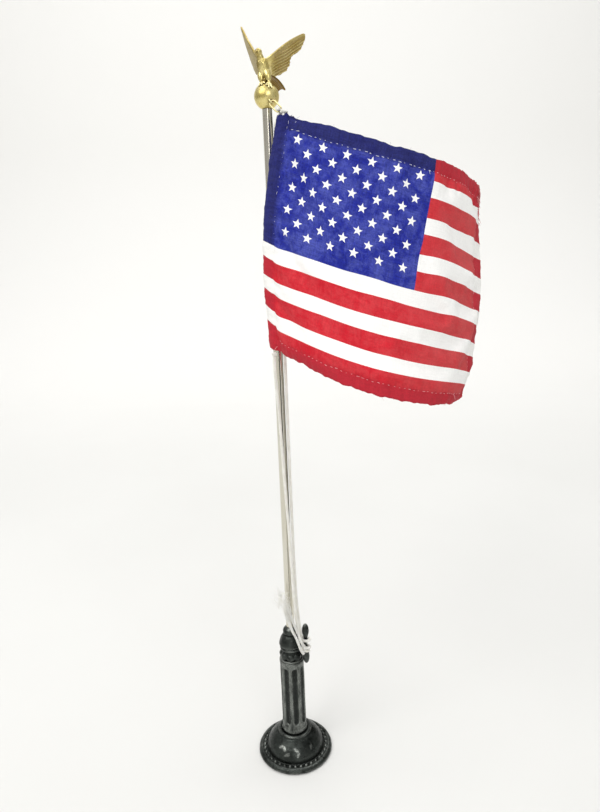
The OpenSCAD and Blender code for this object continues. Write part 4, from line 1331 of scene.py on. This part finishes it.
def front_sheet():
    """The printed sheet: the grid, with the stars' outlines cut into it."""
    centres = [(11.66 + 5.478 * col, 8.55 + 4.739 * row)
               for row in range(9) for col in range(row % 2, 11, 2)]
    stars = [(centre, star_corners(centre)) for centre in centres]
    along, down = np.meshgrid(GRID_ALONG, GRID_DOWN, indexing="ij")
    points = np.stack([along.ravel(), down.ravel()], 1)
    keep = np.ones(len(points), bool)
    for centre, corners in stars:
        near = close_to(points, centre, 2.7)
        keep[near[outline_distance(points[near], corners) < 0.26]] = False
    parts, edges = [points[keep]], []
    count = len(parts[0])
    for _, corners in stars:
        outline = np.array([a + (b - a) * i / 3 for a, b in sides_of(corners) for i in range(3)])
        edges += [(count + i, count + (i + 1) % len(outline)) for i in range(len(outline))]
        parts.append(outline)
        count += len(outline)
    flat = [Vector(p) for p in np.concatenate(parts).tolist()]
    flat, _, faces, _, _, _ = delaunay_2d_cdt(flat, edges, [], 0, 1e-5)
    flat = np.array([tuple(p) for p in flat])
    faces = [tuple(reversed(face)) for face in faces]
    middles = np.array([flat[list(face)].mean(0) for face in faces])
    kinds = zone(middles[:, 0], middles[:, 1])
    for centre, corners in stars:
        near = close_to(middles, centre, 2.4)
        kinds[near[within(middles[near], corners)]] = 2
    along, down = flat[:, 0], flat[:, 1]
    cloth_object("flag_front", along, down, place(along, down), faces, kinds,
                 "flag_cloth", "hoist_sleeve")


front_sheet()


def fold(name, stations, to_cloth, profile):
    """A strip folded to the back: profile holds (inward, lift) over its section, and
    to_cloth(station, inward) gives along and down."""
    rows, cols = len(stations), len(profile)
    along, down, lift = [np.zeros((rows, cols)) for _ in range(3)]
    for j, (inward, height) in enumerate(profile):
        along[:, j], down[:, j] = to_cloth(stations, inward)
        lift[:, j] = height
    along, down, lift = along.ravel(), down.ravel(), lift.ravel()
    # only the strip's first points follow the front's relief
    high = np.where(np.abs(lift) < 0.1, relief(np.clip(along, 0, LONG), np.clip(down, 0, TALL)),
                    -sim_at(along, down))
    points = place(along, down, lift, high)
    faces = [(a, d, c, b) for a, b, c, d in grid_faces(rows, cols)]
    mid_along, mid_down = along[np.array(faces)].mean(1), down[np.array(faces)].mean(1)
    # wind so that the outside of the fold faces outwards
    a, b, _, d = points[list(faces[(rows // 2) * (cols - 1) + cols - 2])]
    back = back_of(np.array([mid_along.mean()]), np.array([mid_down.mean()]))[0]
    if float(np.cross(b - a, d - a) @ back) < 0:
        faces = [tuple(reversed(face)) for face in faces]
    kinds = zone(np.clip(mid_along, 0, LONG), np.clip(mid_down, 0, TALL))
    cloth_object(name, along, down, points, faces, kinds)


def folds():
    # (inward, lift): round the edge, then flat or bulging over the back, and tucked in
    turn = [(0.02 - 0.14 * math.sin(a), -0.23 + 0.25 * math.cos(a))
            for a in np.linspace(0.0, pi, 7)]
    hem = ([(0.10, 0.05)] + turn
           + [(d, -0.50 - 0.10 * math.sin(pi * min(d / 5.6, 1))) for d in np.linspace(0.4, 5.5, 9)]
           + [(5.8, -0.44), (6.1, -0.36)])
    sleeve = ([(0.12, 0.05)] + turn
              + [(d, -0.35 - 1.05 * math.sin(pi * min(d / 5.7, 1)) ** 0.7)
                 for d in np.linspace(0.3, 5.5, 12)]
              + [(5.8, -0.40), (6.3, -0.32)])
    past_sleeve = GRID_ALONG[GRID_ALONG > 5.4]
    height = GRID_DOWN[(GRID_DOWN > 0.3) & (GRID_DOWN < TALL - 0.3)]
    fold("hem_top", past_sleeve, lambda x, d: (x, d), hem)
    fold("hem_bottom", past_sleeve, lambda x, d: (x, TALL - d), hem)
    fold("hem_fly", height, lambda x, d: (LONG - d, x), hem)
    fold("sleeve_back", height, lambda x, d: (d, x), sleeve)


folds()

# whether it runs along, its place the other way, start, end, thread size, how far it stands up
SEAMS = (
    (True, SEAM, 6.8, LONG - 1.5, 1.0, 1.0),
    (True, TALL - SEAM, 6.8, LONG - 1.5, 0.85, 0.8),
    (False, SEAM + 0.1, 1.0, 52.0, 0.62, 0.55),
    (False, LONG - SEAM, 6.5, TALL - 6.5, 0.6, 0.0),
    (False, SEAM + 3.2, 0.8, 4.4, 0.8, 0.9),
)
# along, down, dx, dz, thread: ends left long at the seams
LOOSE_ENDS = ((70.0, 5.6, 0.5, -2.6, 0), (8.4, 0.2, 1.6, 1.0, 0), (117.5, 5.6, 1.8, -3.0, 1),
              (103, 96.4, 0.8, -2.2, 1), (5.7, 99.5, -1.4, -1.6, 1))


def stitches():
    shape = Shape()
    rng = np.random.default_rng(77)
    count = 7
    for runs_along, at, start, end, size, stand in SEAMS:
        x = start + rng.uniform(0, 1)
        while x < end - 2:
            run = np.linspace(x, x + rng.uniform(0.75, 1.75), count)
            off = at + 0.22 * wave(x / 11.0, 0.4) + np.linspace(0, rng.uniform(-0.3, 0.3), count)
            along, down = (run, off) if runs_along else (off, run)
            lift = (0.13 * np.sin(np.linspace(0, pi, count)) - 0.07
                    - rng.choice([0, 0, 0.04, 0.10]) - 0.05 * (1 - stand))
            path = place(along, down, lift)
            # white thread on red, dyed on ... by zone: red, blue, white
            kind = (1, 0, 2)[int(zone(along[count // 2], down[count // 2]))]
            radius = 0.145 * size + rng.uniform(-0.02, 0.03)
            shape.tube(path, radius * taper(path, [0, 0.2, 0.8, 1], [0.5, 1, 1, 0.5]), 7, kind)
            x += 2.45 + rng.uniform(-0.25, 0.25)
    for along, down, dx, dz, kind in LOOSE_ENDS:
        root = spot(along, down, 0.2)
        shape.strand([root, root + (dx * 0.5, -0.5, dz * 0.35), root + (dx, -0.35, dz)], 6,
                     (0.13, 0.07), 6, kind)
    shape.make("seam_stitches", [THREAD_WHITE, THREAD_RED, CORD], "thread", "flag", "hem_thread")


stitches()

RAVEL_RED = make_cord("ravel_red", low=(0.46, 0.04, 0.06), high=(0.60, 0.16, 0.17), sheen=0.03)
RAVEL_BLUE = make_cord("ravel_blue", low=(0.018, 0.015, 0.085), high=(0.05, 0.045, 0.19),
                       sheen=0.0)


def fray():
    """Ravelled cloth at the two upper corners, and a few ends along the edges."""
    rng = np.random.default_rng(91)
    shape = Shape()
    # tufts at the top of the sleeve
    for _ in range(30):
        along = rng.choice([2.6, 4.2, 4.4, 6.4, 8.6]) + rng.normal(0, 0.6)
        root = spot(np.clip(along, 0.1, 12), rng.uniform(0.0, 0.8), rng.uniform(-0.4, 0.3))
        first = np.array([rng.normal(0, 0.25), rng.normal(0, 0.2), rng.uniform(0.1, 0.55)])
        then = np.array([rng.normal(0, 0.4), rng.normal(0, 0.2), rng.uniform(-0.5, 0.3)])
        shape.strand([root, root + first, root + first + then], 4, (0.11, 0.05), 4, 1)
    # flat strips that hang from the fly's upper corner
    outward = unit(spot(LONG, 1.0) - spot(112.0, 1.0))
    for _ in range(9):
        down = rng.uniform(0.5, 8.0)
        root = spot(LONG - rng.uniform(0.0, 2.2), down, rng.uniform(-0.3, 0.5))
        fall = rng.uniform(4.5, 11.5)
        points = [root]
        for k in range(1, 6):
            part = k / 5
            points.append(root + np.array([0, 0, -1]) * fall * part
                          + outward * (1.5 * math.sin(pi * part * 0.9) + rng.normal(0, 0.18))
                          + np.array([0.35 * part, rng.normal(0, 0.25), 0]))
        path = curve(points, 5)
        wide = rng.uniform(0.35, 0.62)
        shape.tube(path, taper(path, [0, 0.3, 0.8, 1], [wide, wide * 1.1, wide * 0.7, 0.1]),
                   flat=0.3)
    # threads of the same corner
    for _ in range(44):
        root = spot(LONG - rng.uniform(-0.1, 1.2), rng.uniform(0.2, 17), rng.uniform(-0.3, 0.3))
        mid = root + np.array([rng.uniform(-0.2, 0.8), rng.normal(0, 0.4),
                               rng.uniform(-1.8, 0.3)])
        tip = mid + (rng.normal(0, 0.4), rng.normal(0, 0.3), rng.uniform(-1.6, 0))
        shape.strand([root, mid, tip], 4, (0.10, 0.04), 4)
    # fine ends along the top, bottom and fly
    for _ in range(60):
        side = rng.integers(0, 3)
        x = rng.uniform(0, 1)
        along, down = [(x * LONG, 0.0), (x * LONG, TALL), (LONG, x * TALL)][side]
        root = spot(along, down)
        leg_out = rng.normal(0, 0.35, 3)
        tip = root + leg_out * 1.3 + rng.normal(0, 0.3, 3)
        shape.strand([root, root + leg_out, tip], 3, (0.05, 0.025), 3,
                     int(zone(along, min(down, TALL - 0.1))))
    shape.make("cloth_fray", [RAVEL_RED, RAVEL_BLUE, THREAD_WHITE], "cloth_red", "flag")


fray()


def sleeve_rope():
    """The cord inside the sleeve."""
    down = np.linspace(0.018, 0.996, 60) * TALL
    along = np.full_like(down, 3.0)
    inset = 0.35 * (rise(down, 6, 8) * rise(down, TALL - 4, -8))[:, None]
    shape = Shape()
    shape.cord(on_drape(along, down) + inset * back_of(along, down), radius=0.27, off=0.22,
               phase=0.9)
    shape.make("sleeve_rope", [CORD], "cord", "flag", "sleeve_cord")


sleeve_rope()


# ------------------------------------------------------------ floor and light
def aim(obj, location, target, axis):
    obj.location = location
    obj.rotation_mode = "QUATERNION"
    obj.rotation_quaternion = (Vector(target) - Vector(location)).to_track_quat(axis, "Y")


def backdrop():
    """Pale paper that curves up behind, with painted light that makes it lighter towards the wall.
    """
    sh = Shader("pale_paper")
    pos = sh.coord()
    y = sh.split(pos)[1]
    patch = sh.ramp(sh.noise(pos, scale=3.0, detail=3, rough=0.5), lo=0.35, hi=0.7)
    col = sh.mix(patch, (0.715, 0.715, 0.698), (0.740, 0.740, 0.724))
    # painted light: the paper lighter towards the wall
    col = sh.mix(sh.ramp(y, lo=0.25, hi=1.1), col, (0.865, 0.862, 0.845))
    grain = sh.bump(sh.noise(pos, scale=800, detail=4, rough=0.6), dist=0.0001, strength=0.3)
    paper = sh.finish(Base_Color=col, Roughness=0.9, Specular_IOR_Level=0.15, Normal=grain)
    # y, z
    profile = ([(-1.6, 0.0), (-0.5, 0.0), (0.2, 0.0), (0.8, 0.0)]
               + [(0.8 + 0.5 * math.sin(a), 0.5 - 0.5 * math.cos(a))
                  for a in np.linspace(0.08, pi / 2, 24)] + [(1.3, 1.2), (1.3, 2.0)])
    verts = [(x, y, z) for y, z in profile for x in (-2.2, -0.7, 0.7, 2.2)]
    new_object("sweep", verts, grid_faces(len(profile), 4), [paper])


def card(name, x, y, width):
    """A dark card, seen only in reflections on what lies below the top of the tube."""
    height, middle = 0.42, 0.17
    sh = Shader(name)
    geo, ray = sh.node("NewGeometry"), sh.node("LightPath")
    step = sh.node("VectorMath", {0: geo.outputs["Incoming"], 3: ray.outputs["Ray Length"]},
                   operation="SCALE")
    origin = sh.node("VectorMath", [step.outputs[0], geo.outputs["Position"]])
    alpha = sh.ramp(sh.split(origin.outputs[0])[2], lo=0.3322, hi=0.3332, out=(1.0, 0.0))
    mat = sh.finish(Base_Color=(0.022, 0.020, 0.016), Roughness=0.9, Alpha=alpha)
    w, h = width / 2, height / 2
    obj = new_object(name, [(-w, -h, 0), (w, -h, 0), (w, h, 0), (-w, h, 0)], [(0, 1, 2, 3)],
                     [mat], smooth=False)
    aim(obj, (x, y, middle), (0, 0, middle), "Z")
    obj.visible_camera = obj.visible_diffuse = obj.visible_shadow = False


def room():
    """A soft grey surround, brighter overhead."""
    world = bpy.data.worlds.new("room")
    world.use_nodes = True
    nodes, link = world.node_tree.nodes, world.node_tree.links.new
    nodes.clear()
    output, back, coord, split, ramp, height = [nodes.new("ShaderNode" + kind) for kind in (
        "OutputWorld", "Background", "TexCoord", "SeparateXYZ", "ValToRGB", "MapRange")]
    link(coord.outputs["Generated"], split.inputs[0])
    height.inputs["From Min"].default_value = -1
    height.inputs["From Max"].default_value = 1
    link(split.outputs[2], height.inputs[0])
    link(height.outputs[0], ramp.inputs[0])
    stops = ramp.color_ramp.elements
    stops[0].position, stops[0].color = 0.30, (0.40, 0.39, 0.37, 1)
    stops[1].position, stops[1].color = 0.92, (1.0, 1.0, 1.0, 1)
    stops.new(0.55).color = (0.62, 0.61, 0.59, 1)
    link(ramp.outputs[0], back.inputs[0])
    back.inputs["Strength"].default_value = 0.72
    link(back.outputs[0], output.inputs[0])
    bpy.context.scene.world = world


def area(name, location, size, power, target=(0.02, 0, 0.2), color=(1, 1, 1)):
    light = bpy.data.lights.new(name, "AREA")
    light.shape, light.energy, light.color = "RECTANGLE", power, color
    light.size, light.size_y = size
    obj = bpy.data.objects.new(name, light)
    aim(obj, location, target, "-Z")
    bpy.context.scene.collection.objects.link(obj)
    obj.visible_camera = False


backdrop()
card("dark_near", x=0.0676, y=-0.145, width=0.074)
card("dark_side", x=0.235, y=0.0855, width=0.45)
room()
area("key", (-0.75, -0.75, 1.25), size=(0.9, 0.9), power=9.2, color=(1.0, 0.985, 0.96))
area("top", (0.1, 0.35, 1.6), size=(1.6, 1.2), power=8.3)
area("front", (0.35, -1.3, 0.75), size=(0.7, 0.7), power=4.4)
area("wall", (0.0, 0.2, 1.3), size=(1.6, 0.5), power=3.6, target=(0, 1.3, 0.6))


# ------------------------------------------------------------------- camera
def camera(location, pitch, yaw, roll, lens):
    """location in mm; angles in degrees: pitch down, yaw from +Y towards +X, then roll."""
    data = bpy.data.cameras.new("camera")
    obj = bpy.data.objects.new("camera", data)
    bpy.context.scene.collection.objects.link(obj)
    data.sensor_fit, data.sensor_height, data.lens = "VERTICAL", 36.0, lens
    data.clip_start, data.clip_end = 0.01, 20
    pitch, yaw, roll = math.radians(pitch), math.radians(yaw), math.radians(roll)
    look = Vector((math.sin(yaw) * math.cos(pitch), math.cos(yaw) * math.cos(pitch),
                   -math.sin(pitch)))
    level = Vector((math.cos(yaw), -math.sin(yaw), 0))
    upward = level.cross(look)
    right = math.cos(roll) * level + math.sin(roll) * upward
    up = -math.sin(roll) * level + math.cos(roll) * upward
    matrix = Matrix((right, up, -look)).transposed().to_4x4()
    matrix.translation = Vector(location) * MM
    obj.matrix_world = matrix
    bpy.context.scene.camera = obj


camera((9.969, -296.679, 277.533), pitch=14.792, yaw=-0.094, roll=-2.101, lens=27.975)
view = bpy.context.scene.view_settings
view.view_transform = "Standard"
view.look = "None"
